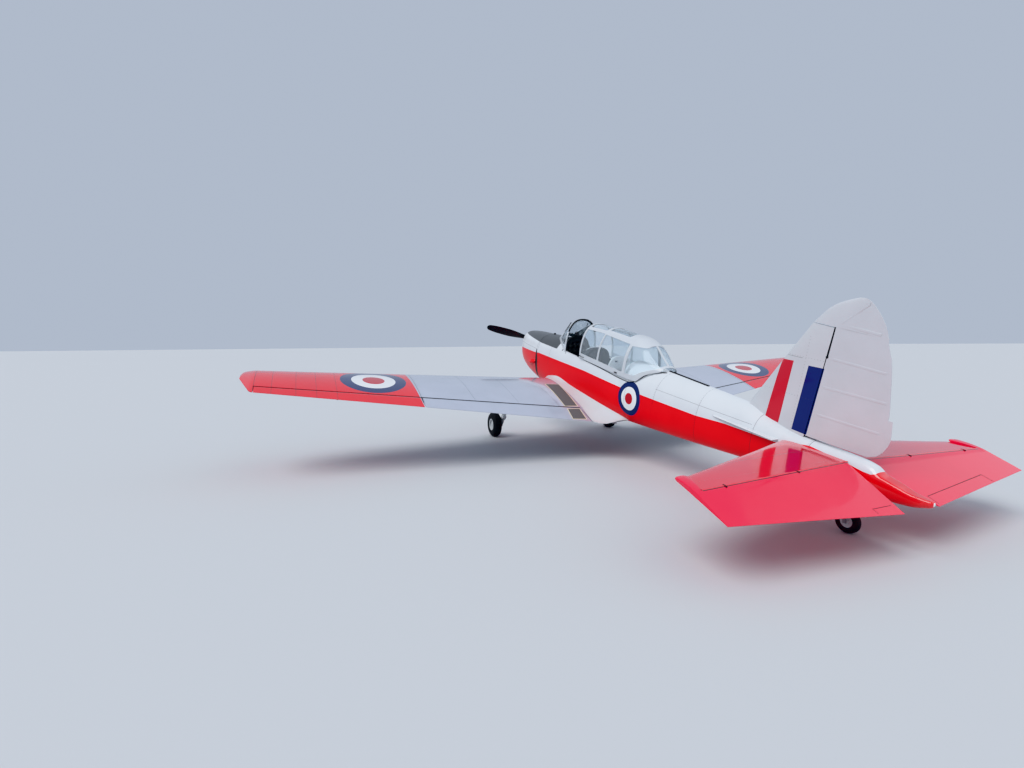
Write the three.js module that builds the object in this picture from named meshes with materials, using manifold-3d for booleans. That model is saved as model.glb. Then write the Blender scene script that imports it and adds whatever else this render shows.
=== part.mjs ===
// A two-seat, low-wing training aircraft with a tailwheel, standing on its own gear.
// Millimetres, +X towards the nose, +Y to the left wing, +Z up; the origin is on the
// ground below the middle of the whole. The airframe is drawn level and then pitched.
import * as THREE from 'three';
import { mergeVertices } from 'three/addons/utils/BufferGeometryUtils.js';
import Module from 'manifold-3d';

const wasm = await Module();
wasm.setup();

// Driving dimensions. A station is the distance aft of the propeller's plane, and a
// height is the distance above the thrust line, both on the level airframe.
const groundAngle = 10.3; // nose-up angle of the parked aircraft, degrees
const centreShift = 2539; // from the middle of the whole forward to the main axle
const skinGap = 0.3; // between fixed pieces that touch
const moveGap = 6; // between a moving piece and what it moves beside
const bodyPoints = 24; // points round a body section

const mainWheel = { station: 1365, height: -1369, y: 1235, radius: 223 };
const tailWheel = { behindMain: 5700, radius: 108, trail: 120 };

const wing = {
  rootLeading: 1486, leadingSweep: 0.095,
  rootTrailing: 3723, trailingSweep: -0.163,
  rootHinge: 3318, hingeSweep: -0.114,
  height: -584, dihedral: 0.0908, incidence: 0.037,
  rootThickness: 0.15, tipThickness: 0.115, camber: 0.014,
  innerY: 200, tipY: 5000,
};
const flapSpan = { inner: 600, outer: 2949, up: 0, down: 30 };
const aileronSpan = { inner: 2967, outer: 5030, up: 18, down: 18 };

const tailplane = {
  height: 40, innerY: 40,
  rootLeading: 6244, leadingSweep: 0.29,
  rootHinge: 6924, hingeSweep: 0.0393,
  rootTrailing: 7532, trailingSweep: -0.106,
  rootHalf: 44, halfTaper: -0.0135,
  tipY: 1670, tipRake: 0.35,
};
const elevator = { inner: 108, innerRake: 0.19, outer: 1833, up: 27, droop: 13 };

const rudderHinge = { low: [6478, 152], high: [6522, 1198] };
const rudderTurn = 27;

const propeller = { radius: 1011, angle: 13.8, hub: 72, shaft: 35 };

// Sections of the body, from the nose ring to the tip of the tail fairing: station,
// half width, top, bottom, height of the widest line, and the power of the curve
// above and below that line
const bodyTable = [
  [75, 205, 172, -420, -90, 2.3, 2.4],
  [220, 268, 202, -505, -110, 2.3, 2.5],
  [560, 318, 234, -590, -130, 2.3, 2.7],
  [1060, 348, 264, -655, -150, 2.3, 2.9],
  [1600, 358, 300, -700, -180, 2.2, 2.9],
  [2150, 360, 318, -712, -190, 2.1, 2.9],
  [3000, 356, 318, -665, -190, 2.1, 2.8],
  [3950, 328, 313, -545, -170, 2.1, 2.6],
  [4400, 304, 308, -472, -150, 2.1, 2.5],
  [5100, 250, 290, -368, -100, 2.1, 2.4],
  [5780, 188, 268, -276, -50, 2.1, 2.3],
  [6000, 170, 214, -247, -35, 2.1, 2.3],
  [6480, 132, 141, -184, -15, 2.1, 2.2],
  [7020, 90, 120, -122, 0, 2.1, 2.1],
  [7130, 80, 78, -108, -5, 2, 2],
  [7300, 58, 42, -86, -15, 2, 2],
  [7572, 24, 8, -38, -14, 2, 2],
].map(([station, half, top, bottom, waist, power, lowPower]) => (
  { station, half, top, bottom, waist, power, lowPower }));
const firewall = 1060;
const rearBulkhead = 3950;
const tailJoint = 6540;

// The cockpit's opening and its sill, which falls a little towards the tail.
const cockpit = {
  front: 1990, rear: 3600, sillFront: 128, sillSlope: -0.023, wall: 30, floor: -470,
};
const sill = (station) => cockpit.sillFront + cockpit.sillSlope * (station - cockpit.front);
const hoodLift = 14; // the hood's lower edge above the sill

// Canopy arches: station, half width, lower edge, top, power of the curve
const archRow = ([station, half, low, top, power]) => ({ station, half, low, top, power });
const hoodTable = [
  [2600, 314, sill(2600) + hoodLift, 682, 2.5],
  [3150, 318, sill(3150) + hoodLift, 692, 2.5],
  [3830, 316, sill(3830) + hoodLift, 668, 2.5],
  [4090, 300, sill(4090) + hoodLift + 6, 592, 2.3],
  [4230, 240, 215, 487, 2.1],
  [4410, 130, 296, 352, 2],
].map(archRow);
const screenTable = [
  [1560, 150, 200, 318, 3.2],
  [1800, 230, 150, 496, 2.9],
  [2060, 296, 118, 668, 2.6],
  [2108, 304, 114, 682, 2.5],
].map(archRow);

// Colours
const red = 0xc81e2b;
const white = 0xe9ebec;
const silver = 0xb9bec8;
const black = 0x17181a;
const steel = 0x8c9096;
const clear = 0xbfd4dc;

const radians = THREE.MathUtils.degToRad;
const at = (station, y, height) => new THREE.Vector3(-station, y, height);

// A closed solid through rings of equally many points, with flat ends. Each ring is
// flat enough to be covered by triangles in the plane where it looks largest.
function loft(rings) {
  const count = rings[0].length;
  const positions = rings.flat().flatMap((point) => [point.x, point.y, point.z]);
  const index = [];
  for (let r = 0; r + 1 < rings.length; r += 1) {
    for (let i = 0; i < count; i += 1) {
      const next = (i + 1) % count;
      const a = r * count + i;
      const b = r * count + next;
      index.push(a, b, b + count, a, b + count, a + count);
    }
  }
  const last = (rings.length - 1) * count;
  capTriangles(rings[0]).forEach(([a, b, c]) => index.push(a, c, b));
  capTriangles(rings[rings.length - 1]).forEach(([a, b, c]) => (
    index.push(last + a, last + b, last + c)));
  const geometry = new THREE.BufferGeometry();
  geometry.setAttribute('position', new THREE.Float32BufferAttribute(positions, 3));
  geometry.setIndex(signedVolume(positions, index) < 0 ? index.reverse() : index);
  return geometry;
}

// The triangles that cover a flat ring, turned the way the ring runs.
function capTriangles(ring) {
  const normal = new THREE.Vector3();
  ring.forEach((point, i) => {
    const next = ring[(i + 1) % ring.length];
    normal.x += (point.y - next.y) * (point.z + next.z);
    normal.y += (point.z - next.z) * (point.x + next.x);
    normal.z += (point.x - next.x) * (point.y + next.y);
  });
  normal.normalize();
  const helper = Math.abs(normal.z) < 0.9 ? new THREE.Vector3(0, 0, 1) : new THREE.Vector3(1, 0, 0);
  const across = new THREE.Vector3().crossVectors(helper, normal).normalize();
  const along = new THREE.Vector3().crossVectors(normal, across);
  const flat = ring.map((point) => new THREE.Vector2(point.dot(across), point.dot(along)));
  return THREE.ShapeUtils.triangulateShape(flat, []);
}

function signedVolume(positions, index) {
  let volume = 0;
  const corner = (i) => new THREE.Vector3().fromArray(positions, i * 3);
  for (let i = 0; i < index.length; i += 3) {
    const [a, b, c] = [corner(index[i]), corner(index[i + 1]), corner(index[i + 2])];
    volume += a.dot(b.cross(c));
  }
  return volume;
}

// A three.js geometry as a solid that can be joined and cut, and back again.
function solid(geometry) {
  const bare = geometry.clone();
  bare.deleteAttribute('normal');
  bare.deleteAttribute('uv');
  const merged = mergeVertices(bare, 1e-3);
  return new wasm.Manifold(new wasm.Mesh({
    numProp: 3,
    vertProperties: new Float32Array(merged.attributes.position.array),
    triVerts: new Uint32Array(merged.index.array),
  }));
}

function geometryOf(body) {
  const mesh = body.getMesh();
  const geometry = new THREE.BufferGeometry();
  geometry.setAttribute('position', new THREE.BufferAttribute(mesh.vertProperties, 3));
  geometry.setIndex(new THREE.BufferAttribute(mesh.triVerts, 1));
  return geometry;
}

// The largest of the separate bodies that a cut leaves.
function mainBody(body) {
  return body.decompose().reduce((a, b) => (a.volume() > b.volume() ? a : b));
}

function material(color, roughness, metalness) {
  return new THREE.MeshStandardMaterial({ color, roughness, metalness });
}

const aircraft = new THREE.Group();
const level = new THREE.Group(); // the airframe, pitched as one
aircraft.add(level);

function addPiece(parent, name, shape, color, roughness = 0.4, metalness = 0) {
  const geometry = shape.isBufferGeometry ? shape : geometryOf(shape);
  const mesh = new THREE.Mesh(geometry, material(color, roughness, metalness));
  mesh.name = name;
  parent.add(mesh);
  return mesh;
}

// A box between two corners, given as station, y and height.
function box([s0, y0, h0], [s1, y1, h1]) {
  const geometry = new THREE.BoxGeometry(Math.abs(s1 - s0), Math.abs(y1 - y0), Math.abs(h1 - h0));
  geometry.translate(-(s0 + s1) / 2, (y0 + y1) / 2, (h0 + h1) / 2);
  return solid(geometry);
}

// A side outline of [station, height] points, drawn out from y0 to y1.
function slab(outline, y0, y1) {
  return solid(loft([y0, y1].map((y) => outline.map(([station, height]) => at(station, y, height)))));
}

// A round rod or cone between two points.
function rod(from, to, radius, endRadius = radius, sides = 16) {
  const length = from.distanceTo(to);
  const geometry = new THREE.CylinderGeometry(endRadius, radius, length, sides);
  const turn = new THREE.Quaternion().setFromUnitVectors(
    new THREE.Vector3(0, 1, 0),
    to.clone().sub(from).normalize(),
  );
  geometry.applyQuaternion(turn);
  const middle = from.clone().add(to).multiplyScalar(0.5);
  geometry.translate(middle.x, middle.y, middle.z);
  return solid(geometry);
}

// The value of each column of a table between two of its rows.
function rowAt(table, station) {
  const next = Math.max(1, table.findIndex((row) => row.station >= station));
  const [a, b] = [table[next - 1], table[next]];
  const part = (station - a.station) / (b.station - a.station);
  return Object.fromEntries(Object.keys(a).map((key) => [key, a[key] + (b[key] - a[key]) * part]));
}

const curve = (value, power) => Math.sign(value) * Math.abs(value) ** (2 / power);

function bodyRing(row, inset = 0) {
  return Array.from({ length: bodyPoints }, (_, i) => {
    const angle = (i / bodyPoints) * Math.PI * 2;
    const above = Math.cos(angle) > 0;
    const reach = above ? row.top - row.waist : row.waist - row.bottom;
    const power = above ? row.power : row.lowPower;
    const y = (row.half - inset) * curve(Math.sin(angle), power);
    return at(row.station, y, row.waist + (reach - inset) * curve(Math.cos(angle), power));
  });
}

// The rows of the body between two stations, with a row at each end.
function bodyRows(from, to) {
  const inside = bodyTable.filter((row) => row.station > from + 1 && row.station < to - 1);
  return [rowAt(bodyTable, from), ...inside, rowAt(bodyTable, to)];
}

function bodySolid(from, to, inset = 0) {
  return solid(loft(bodyRows(from, to).map((row) => bodyRing(row, inset))));
}
const bodyEnvelope = bodySolid(bodyTable[0].station, 7572, -skinGap);

// Body pieces
function cowl() {
  const wall = 12;
  const outer = bodySolid(bodyTable[0].station, firewall - 8);
  const inner = bodySolid(bodyTable[0].station + wall, firewall, wall);
  const spinnerHole = rod(at(40, 0, 0), at(120, 0, 0), 112, 112, 24);
  const intake = box([40, 34, -330], [120, 150, -120]);
  const carburettorIntake = rod(at(40, -110, -290), at(120, -110, -290), 48);
  const outlet = box([880, -170, -720], [firewall, 170, -560]);
  const cuts = [spinnerHole, intake, carburettorIntake, outlet];
  return cuts.reduce((body, cut) => body.subtract(cut), outer.subtract(inner));
}

function engineBlock() {
  return box([200, -140, -380], [1000, 140, 80]);
}

// The space inside the cockpit's walls.
function cockpitInside(wall) {
  const front = firewall + 50;
  const rear = rearBulkhead - 60;
  const aboveFloor = box([front - 10, -500, cockpit.floor], [rear + 10, 500, 800]);
  return bodySolid(front, rear, wall).intersect(aboveFloor);
}

function cockpitTub() {
  const outer = bodySolid(firewall, rearBulkhead - skinGap);
  const opening = slab([
    [cockpit.front, cockpit.sillFront], [cockpit.front, 800],
    [cockpit.rear, 800], [cockpit.rear, sill(cockpit.rear)],
  ], -600, 600);
  return outer.subtract(cockpitInside(cockpit.wall)).subtract(opening);
}

// An instrument panel, as wide as the cockpit, with a round top above the sill.
function panel(station, top, half) {
  const rows = [station, station + 22].map((s) => (
    { station: s, half, low: sill(s) - 10, top, power: 2.4 }));
  const cap = solid(loft(rows.map((row) => archRing(row))));
  const across = box([station, -400, -160], [station + 22, 400, sill(station)]);
  const plate = across.intersect(cockpitInside(cockpit.wall + skinGap));
  return mainBody(plate.add(cap.subtract(bodyEdge)));
}

// A seat: a pan on a box, and a back that leans aft with a rounded top.
function seat(station, lift) {
  const foot = box([station + 30, -150, cockpit.floor + skinGap], [station + 300, 150, lift - 325]);
  const pan = box([station, -205, lift - 330], [station + 360, 205, lift - 285]);
  const back = slab([
    [station + 320, lift - 300], [station + 365, lift - 300],
    [station + 440, lift + 190], [station + 425, lift + 300], [station + 395, lift + 300],
    [station + 390, lift + 190],
  ], -190, 190);
  return foot.add(pan).add(back);
}

function stick(station) {
  const floor = at(station, 0, cockpit.floor + skinGap);
  const foot = at(station, 0, cockpit.floor + 45);
  const top = at(station + 25, 0, -95);
  const boot = rod(floor, foot, 48, 20, 12);
  return boot.add(rod(foot, top, 12, 12, 10)).add(rod(top, at(station + 22, 0, 20), 19, 17, 10));
}

// The flat underside of the pad for a trestle below the rear body.
const tailPad = { station: 5400, half: 50, height: -345 };
function rearBody() {
  const { station, half, height } = tailPad;
  const pad = box([station - half, -half, -280], [station + half, half, height]);
  return bodySolid(rearBulkhead, tailJoint - skinGap).add(pad);
}

addPiece(level, 'engine_cowl', cowl(), white);
addPiece(level, 'engine_block', engineBlock(), steel, 0.5, 0.6);
addPiece(level, 'fuselage_cockpit', cockpitTub(), red);
addPiece(level, 'fuselage_rear', rearBody(), red);
addPiece(level, 'tail_fairing', bodySolid(tailJoint, 7572), red);

// A closed arch from one lower edge over the top to the other. drop carries both of
// its legs straight down.
const archPoints = 14;
function archRing({ station, half, low, top, power }, inset = 0, drop = 0) {
  const arch = Array.from({ length: archPoints + 1 }, (_, i) => {
    const angle = (i / archPoints) * Math.PI;
    const height = low + (top - inset - low) * curve(Math.sin(angle), power);
    return at(station, (half - inset) * curve(Math.cos(angle), power), height);
  });
  if (!drop) return arch;
  return [...arch, at(station, inset - half, low - drop), at(station, half - inset, low - drop)];
}

// What lies below the cockpit's edge, with a gap, for pieces that stand on it.
const bodyEdge = bodyEnvelope.subtract(slab([
  [cockpit.front + skinGap, sill(cockpit.front) + skinGap], [cockpit.front + skinGap, 800],
  [cockpit.rear - skinGap, 800], [cockpit.rear - skinGap, sill(cockpit.rear) + skinGap],
], -600, 600));

// A canopy skin of one wall thickness, open below and at its ends.
function archShell(table, outset, wall) {
  const outer = solid(loft(table.map((row) => archRing(row, outset))));
  const first = { ...table[0], station: table[0].station - 20 };
  const last = { ...table[table.length - 1], station: table[table.length - 1].station + 20 };
  const rows = [first, ...table, last];
  return outer.subtract(solid(loft(rows.map((row) => archRing(row, outset + wall, 60)))));
}

const frameWall = 12;
const paneWall = 5;

// Windows as [station, height] outlines. Each is cut through both sides, from so far
// off the middle outwards.
const hoodWindows = [
  [0, [[2640, 205], [3130, 192], [3146, 602], [2640, 594]]],
  [0, [[3174, 190], [3804, 166], [3810, 560], [3180, 594]]],
  [15, [
    [3866, 166], [4060, 172], [4150, 232], [4230, 276], [4372, 336],
    [4390, 420], [4110, 640], [4098, 552], [3868, 545],
  ]],
];
const hoodBoxes = [
  [[2650, -165, 400], [3120, 165, 800]], [[3180, -150, 400], [3700, 150, 800]],
];
const screenWindows = [[0, [[1740, 290], [2055, 170], [2060, 555], [1970, 525]]]];
const screenFrontWindow = [[1650, -128, 350], [2025, 128, 800]];

// A canopy frame: its shell with the side windows and the boxes cut out.
function frameOf(table, sideWindows, boxes) {
  const sides = sideWindows.flatMap(([inner, outline]) => (
    [slab(outline, inner, 400), slab(outline, -400, -inner)]));
  const cuts = [...sides, ...boxes.map((corners) => box(...corners))];
  return cuts.reduce((body, cut) => body.subtract(cut), archShell(table, 0, frameWall));
}

const hoodFrame = () => frameOf(hoodTable, hoodWindows, hoodBoxes);
function screenFrame() {
  const frame = frameOf(screenTable, screenWindows, [screenFrontWindow]);
  return mainBody(frame.subtract(bodyEdge));
}

const panes = (table) => archShell(table, frameWall + skinGap, paneWall);

addPiece(level, 'instrument_panel_front', panel(1965, 395, 235), black);
addPiece(level, 'instrument_panel_rear', panel(2640, 300, 225), black);
addPiece(level, 'seat_front', seat(2140, -20), black);
addPiece(level, 'seat_rear', seat(2880, -30), black);
addPiece(level, 'control_stick_front', stick(2070), black);
addPiece(level, 'control_stick_rear', stick(2760), black);
addPiece(level, 'windscreen_frame', screenFrame(), white);
addPiece(level, 'windscreen_glass', mainBody(panes(screenTable).subtract(bodyEdge)), clear, 0.05);
addPiece(level, 'hood_frame', hoodFrame(), white);
addPiece(level, 'hood_glass', panes(hoodTable), clear, 0.05);
const railOutline = [[4430, 290], [4430, 318], [5130, 299], [5130, 275]];
addPiece(level, 'hood_rail', slab(railOutline, -12, 12).subtract(bodyEnvelope), black);

// Wings. side is 1 for the left one and -1 for the right one.
const leading = (y) => wing.rootLeading + wing.leadingSweep * y;
const trailing = (y) => wing.rootTrailing + wing.trailingSweep * y;
const wingHinge = (y) => wing.rootHinge + wing.hingeSweep * y;
const chordHeight = (y, station) => (
  wing.height + wing.dihedral * y - wing.incidence * (station - leading(y)));
const wingThickness = (y) => (
  wing.rootThickness + (wing.tipThickness - wing.rootThickness) * (y / wing.tipY));

// Half the thickness and the camber of the wing's section, as parts of the chord.
const sectionHalf = (x, t) => (
  t * (1.4845 * Math.sqrt(x) - 0.63 * x - 1.758 * x ** 2 + 1.4215 * x ** 3 - 0.503 * x ** 4));
const sectionMiddle = (x) => 4 * wing.camber * x * (1 - x);
const sectionSteps = [1, 0.9, 0.78, 0.6, 0.42, 0.26, 0.13, 0.05, 0.012, 0];

function wingRing(y, front, back, thickness, side) {
  const chord = back - front;
  const point = (x, sign) => {
    const station = front + x * chord;
    const rise = chord * (sectionMiddle(x) + sign * sectionHalf(x, thickness));
    return at(station, side * y, chordHeight(y, station) + rise);
  };
  const upper = sectionSteps.map((x) => point(x, 1));
  const lower = sectionSteps.slice(0, -1).reverse().map((x) => point(x, -1));
  return [...upper, ...lower];
}

// The rounded tip: y, front, back, thickness
const wingTip = [
  [5065, 1967, 2897, 0.112],
  [5110, 1978, 2766, 0.105],
  [5168, 2004, 2562, 0.09],
  [5208, 2060, 2420, 0.07],
  [5228, 2160, 2350, 0.04],
];

// The upper and lower heights of the wing's skin.
function wingSkin(y, station) {
  const chord = trailing(y) - leading(y);
  const x = THREE.MathUtils.clamp((station - leading(y)) / chord, 0, 1);
  const middle = chordHeight(y, station) + chord * sectionMiddle(x);
  const half = chord * sectionHalf(x, wingThickness(y));
  return { middle, half };
}

// A hinged surface: a round nose, a flat taper, and a thin rear edge.
const noseSteps = 6;
function surfaceRing(nose, back, rise = 0) {
  const arc = Array.from({ length: noseSteps + 1 }, (_, i) => {
    const angle = Math.PI / 2 + (i / noseSteps) * Math.PI;
    return nose.place(nose.radius * Math.cos(angle), nose.radius * Math.sin(angle));
  });
  const rear = [rise - 2.5, rise + 2.5].map((up) => nose.place(back - nose.station, up));
  return [...arc, ...rear];
}

// The room that a hinged surface needs: its nose with a gap, and a wedge behind the
// axis that is open for the turn up and down.
function surfaceRoom(nose, up, down, gap = moveGap) {
  const from = 90 + up;
  const to = 270 - down;
  const point = (distance, degrees) => nose.place(
    distance * Math.cos(radians(degrees)),
    distance * Math.sin(radians(degrees)),
  );
  const arc = Array.from({ length: noseSteps + 1 }, (_, i) => (
    point(nose.radius + gap, from + ((to - from) * i) / noseSteps)));
  return [...arc, point(300, to), point(1100, -30), point(1100, 30), point(300, from)];
}

// The nose of a flap or an aileron at a place along the wing. place gives the point
// that is so far aft of the axis and so far above it.
function wingNose(y, side) {
  const station = wingHinge(y);
  const { middle, half } = wingSkin(y, station);
  const place = (aft, up) => at(station + aft, side * y, middle + up);
  return { station, middle, radius: half, place };
}

// The flat underside of the jacking pad below each wing.
const wingPad = { station: 2290, y: 1900, half: 40, height: -548 };

function wingSolid(side) {
  const rings = [
    wingRing(wing.innerY, leading(wing.innerY), trailing(wing.innerY), wing.rootThickness, side),
    wingRing(wing.tipY, leading(wing.tipY), trailing(wing.tipY), wing.tipThickness, side),
    ...wingTip.map(([y, front, back, thickness]) => wingRing(y, front, back, thickness, side)),
  ];
  const cuts = [flapSpan, aileronSpan].map(({ inner, outer, up, down }) => {
    const ends = [[inner - moveGap, inner], [outer + moveGap, outer]];
    const rooms = ends.map(([y, noseY]) => {
      const nose = wingNose(noseY, side);
      return surfaceRoom(nose, up, down).map((point) => point.setY(side * y));
    });
    return solid(loft(rooms));
  });
  const { station, y, half, height } = wingPad;
  const pad = box(
    [station - half, side * (y - half), -500],
    [station + half, side * (y + half), height],
  );
  const whole = cuts.reduce((body, cut) => body.subtract(cut), solid(loft(rings)));
  return mainBody(whole.add(pad).subtract(bodyEnvelope));
}

function wingSurface({ inner, outer }, side) {
  return loft([inner, outer].map((y) => {
    const nose = wingNose(y, side);
    return surfaceRing(nose, trailing(y), chordHeight(y, trailing(y)) - nose.middle);
  }));
}

// The fairing between the wing's root and the body: station, height of its top on the
// body, y of its outer edge, height of its underside
const filletTable = [
  [1500, -462, 372, -540],
  [1650, -400, 430, -560],
  [2050, -326, 470, -560],
  [2450, -366, 500, -560],
  [3170, -410, 545, -600],
  [3600, -440, 588, -640],
  [3690, -448, 560, -634],
  [3790, -456, 450, -612],
  [3880, -470, 300, -580],
].map(([station, top, outer, low]) => ({ station, top, outer, low }));

function fillet(side, wingBody) {
  const rings = filletTable.map(({ station, top, outer, low }) => {
    const overWing = station < trailing(outer) - 20;
    const skin = overWing
      ? wingSkin(outer, station)
      : { middle: chordHeight(outer, station) + 6, half: 0 };
    const edge = skin.middle + skin.half + 3;
    const section = rowAt(bodyTable, station);
    const fall = Math.min(1, (section.waist - top) / (section.waist - section.bottom));
    const root = section.half * (1 - fall ** section.lowPower) ** (1 / section.lowPower);
    const part = (y, height) => (
      at(station, side * (root + (outer - root) * y), edge + (top - edge) * height));
    return [
      at(station, side * 150, top),
      part(0, 1), part(0.22, 0.6), part(0.5, 0.28), part(0.8, 0.06), part(1, 0),
      at(station, side * outer, Math.min(low, edge - 6)), at(station, side * 150, low),
    ];
  });
  const moves = [[0, 0, skinGap], [-skinGap, 0, 0], [0, side * skinGap, 0]];
  const clear = moves.reduce((body, move) => (
    body.subtract(wingBody.translate(move))), solid(loft(rings)));
  return mainBody(clear.subtract(bodyEnvelope));
}

function pitotHead() {
  const foot = at(2380, 4020, -290);
  const end = at(2330, 4020, -470);
  return rod(foot, end, 12, 9, 10).add(rod(at(2350, 4020, -470), at(2080, 4020, -458), 9, 7, 10));
}

// Main legs: each is a faired strut from below the wing to a stub axle.
const legTable = [
  // station, y, height, half length, half width
  [1880, 1125, -480, 95, 36],
  [1660, 1118, -880, 74, 32],
  [1420, 1108, -1290, 52, 27],
  [1365, 1106, -1405, 44, 26],
];

// A piece that hangs from a wing, cut clear of it.
const belowWing = (piece, wingBody) => (
  piece.subtract(wingBody.translate([0, 0, -skinGap])).subtract(wingBody));

function gearLeg(side, wingBody) {
  const strut = solid(loft(legTable.map(([station, y, height, long, wide]) => (
    Array.from({ length: 12 }, (_, i) => {
      const angle = (i / 12) * Math.PI * 2;
      return at(station + long * Math.cos(angle), side * (y + wide * Math.sin(angle)), height);
    })))));
  const { station, height, y } = mainWheel;
  const axlePoint = (distance) => at(station, side * distance, height);
  const axle = rod(axlePoint(y - 130), axlePoint(y + 50), 20, 20, 16);
  const backPlate = rod(axlePoint(y - 100), axlePoint(y - 66), 82, 82, 24);
  return belowWing(strut.add(axle).add(backPlate), wingBody);
}

const wingBodies = {};
for (const [name, side] of [['left', 1], ['right', -1]]) {
  wingBodies[name] = wingSolid(side);
  addPiece(level, `wing_${name}`, wingBodies[name], silver);
  addPiece(level, `flap_${name}`, wingSurface(flapSpan, side), silver);
  addPiece(level, `aileron_${name}`, wingSurface(aileronSpan, side), red);
  addPiece(level, `wing_fillet_${name}`, fillet(side, wingBodies[name]), white);
  addPiece(level, `gear_leg_${name}`, mainBody(gearLeg(side, wingBodies[name])), white);
}
addPiece(level, 'pitot_head', belowWing(pitotHead(), wingBodies.left), steel);

// Tail
// Half the thickness of a fin's section, as a part of its greatest, by x from its
// front edge to its hinge
const finSteps = [[0, 0], [0.02, 0.36], [0.08, 0.62], [0.25, 0.88], [0.6, 1], [1, 1]];
function finRing(length, half, place) {
  const sidePoints = (sign) => finSteps.map(([x, part]) => place((x - 1) * length, sign * part * half));
  return [...sidePoints(1), ...sidePoints(-1).slice(1).reverse()];
}

function lerpHinge(height) {
  const [[s0, h0], [s1, h1]] = [rudderHinge.low, rudderHinge.high];
  return s0 + ((s1 - s0) * (height - h0)) / (h1 - h0);
}

const finHalf = (height) => 50 - 0.022 * height;
const finLeading = (height) => 5588 + 0.5826 * height;
// A level place on the rudder's axis; the rows near the horn rise towards the front.
function rudderNose(height, slope = 0) {
  const station = lerpHinge(height);
  const place = (aft, across) => at(station + aft, across, height + slope * aft);
  return { station, radius: finHalf(height), place };
}

const hornSlope = -0.085;
function fin() {
  const rows = [[90, 0], [1190, hornSlope]].map(([height, slope]) => {
    const nose = rudderNose(height, slope);
    const reach = 120; // the sides run on past the axis, and the cut ends them
    const length = nose.station - finLeading(height) + reach;
    return finRing(length, nose.radius, (aft, across) => nose.place(aft + reach, across));
  });
  const room = [[60, 0], [1240, 0]].map(([height]) => (
    surfaceRoom(rudderNose(height), rudderTurn + 2, rudderTurn + 2)));
  return mainBody(solid(loft(rows)).subtract(solid(loft(room))).subtract(bodyEnvelope));
}

// The rudder below the horn: height, station of its rear edge
const rudderTable = [
  [157, 7020], [188, 7085], [240, 7123], [500, 7113], [750, 7076], [993, 7027], [1150, 6974],
];
// The horn that reaches forward over the fin: height at the axis, front, back, half
const hornTable = [
  [1200, 6286, 6968, 24],
  [1275, 6334, 6914, 22],
  [1345, 6392, 6864, 19],
  [1415, 6490, 6800, 15],
  [1458, 6600, 6750, 9],
  [1476, 6662, 6708, 4],
];

// Half the horn's thickness, as a part of its greatest, by x from front to back
const hornSteps = [[0.03, 0.5], [0.3, 1], [0.65, 0.7]];

function rudder() {
  const rows = rudderTable.map(([height, back]) => surfaceRing(rudderNose(height), back));
  rows.push(surfaceRing(rudderNose(1212, hornSlope), 6962));
  const horn = hornTable.map(([height, front, back, half], i) => {
    const { station, place } = rudderNose(height, i === 0 ? hornSlope : 0);
    const side = (sign) => hornSteps.map(([x, part]) => (
      place(front + x * (back - front) - station, sign * part * half)));
    const rear = [2, -2].map((across) => place(back - station, across));
    return [place(front - station, 0), ...side(1), ...rear, ...side(-1).reverse()];
  });
  return solid(loft(rows)).add(solid(loft(horn)));
}

const tailLeading = (y) => tailplane.rootLeading + tailplane.leadingSweep * y;
const tailTrailing = (y) => tailplane.rootTrailing + tailplane.trailingSweep * y;
// A place on the elevator's axis; rake gives how far y grows for each mm aft of it.
function tailNose(y, side, rake = 0, foreRake = rake) {
  const station = tailplane.rootHinge + tailplane.hingeSweep * y;
  const outward = (aft) => side * (y + (aft < 0 ? foreRake : rake) * aft);
  const place = (aft, up) => at(station + aft, outward(aft), tailplane.height + up);
  return { station, radius: tailplane.rootHalf + tailplane.halfTaper * y, place };
}

function tailplaneSolid(side) {
  const tipHingeY = tailplane.tipY + tailplane.tipRake * 255;
  const rows = [[tailplane.innerY, 0], [tipHingeY, tailplane.tipRake]].map(([y, rake]) => {
    const nose = tailNose(y, side, rake);
    const reach = 90;
    const front = tailLeading(y - rake * 255);
    return finRing(nose.station - front + reach, nose.radius, (aft, up) => nose.place(aft + reach, up));
  });
  const room = [elevator.inner - 200, elevator.outer + 60].map((y) => (
    surfaceRoom(tailNose(y, side), elevator.up + 2, elevator.droop + 2)));
  return mainBody(solid(loft(rows)).subtract(solid(loft(room))).subtract(bodyEnvelope));
}

function elevatorSolid(side) {
  const inner = tailNose(elevator.inner, side, elevator.innerRake, 0);
  const outer = tailNose(elevator.outer, side);
  const main = loft([
    surfaceRing(inner, tailTrailing(elevator.inner)),
    surfaceRing(outer, tailTrailing(elevator.outer)),
  ]);
  const edgeY = tailplane.tipY + tailplane.tipRake * 255 + 8;
  const hornEnds = [tailNose(edgeY, side, tailplane.tipRake), tailNose(elevator.outer, side)];
  const horn = hornEnds.map(({ place }) => [
    place(-238, 0), place(-226, 8), place(-150, 15), place(0, 19), place(60, 14),
    place(60, -14), place(0, -19), place(-150, -15), place(-226, -8),
  ]);
  const whole = solid(main).add(solid(loft(horn)));
  const [a, b] = [elevator.inner, elevator.outer].map((y) => tailNose(y, side).place(0, 0));
  const axis = b.clone().sub(a).normalize();
  const turn = new THREE.Matrix4().makeTranslation(a.x, a.y, a.z)
    .multiply(new THREE.Matrix4().makeRotationAxis(axis, side * -radians(elevator.droop)))
    .multiply(new THREE.Matrix4().makeTranslation(-a.x, -a.y, -a.z));
  return geometryOf(whole).applyMatrix4(turn);
}

// A flat strake on the body ahead of each tailplane, in plan.
function strake(side) {
  const outline = [[5440, 120], [5440, 200], [5500, 226], [6270, 226], [6270, 100]];
  const rings = [47, 53].map((height) => outline.map(([station, y]) => at(station, side * y, height)));
  return mainBody(solid(loft(rings)).subtract(bodyEnvelope));
}

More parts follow.
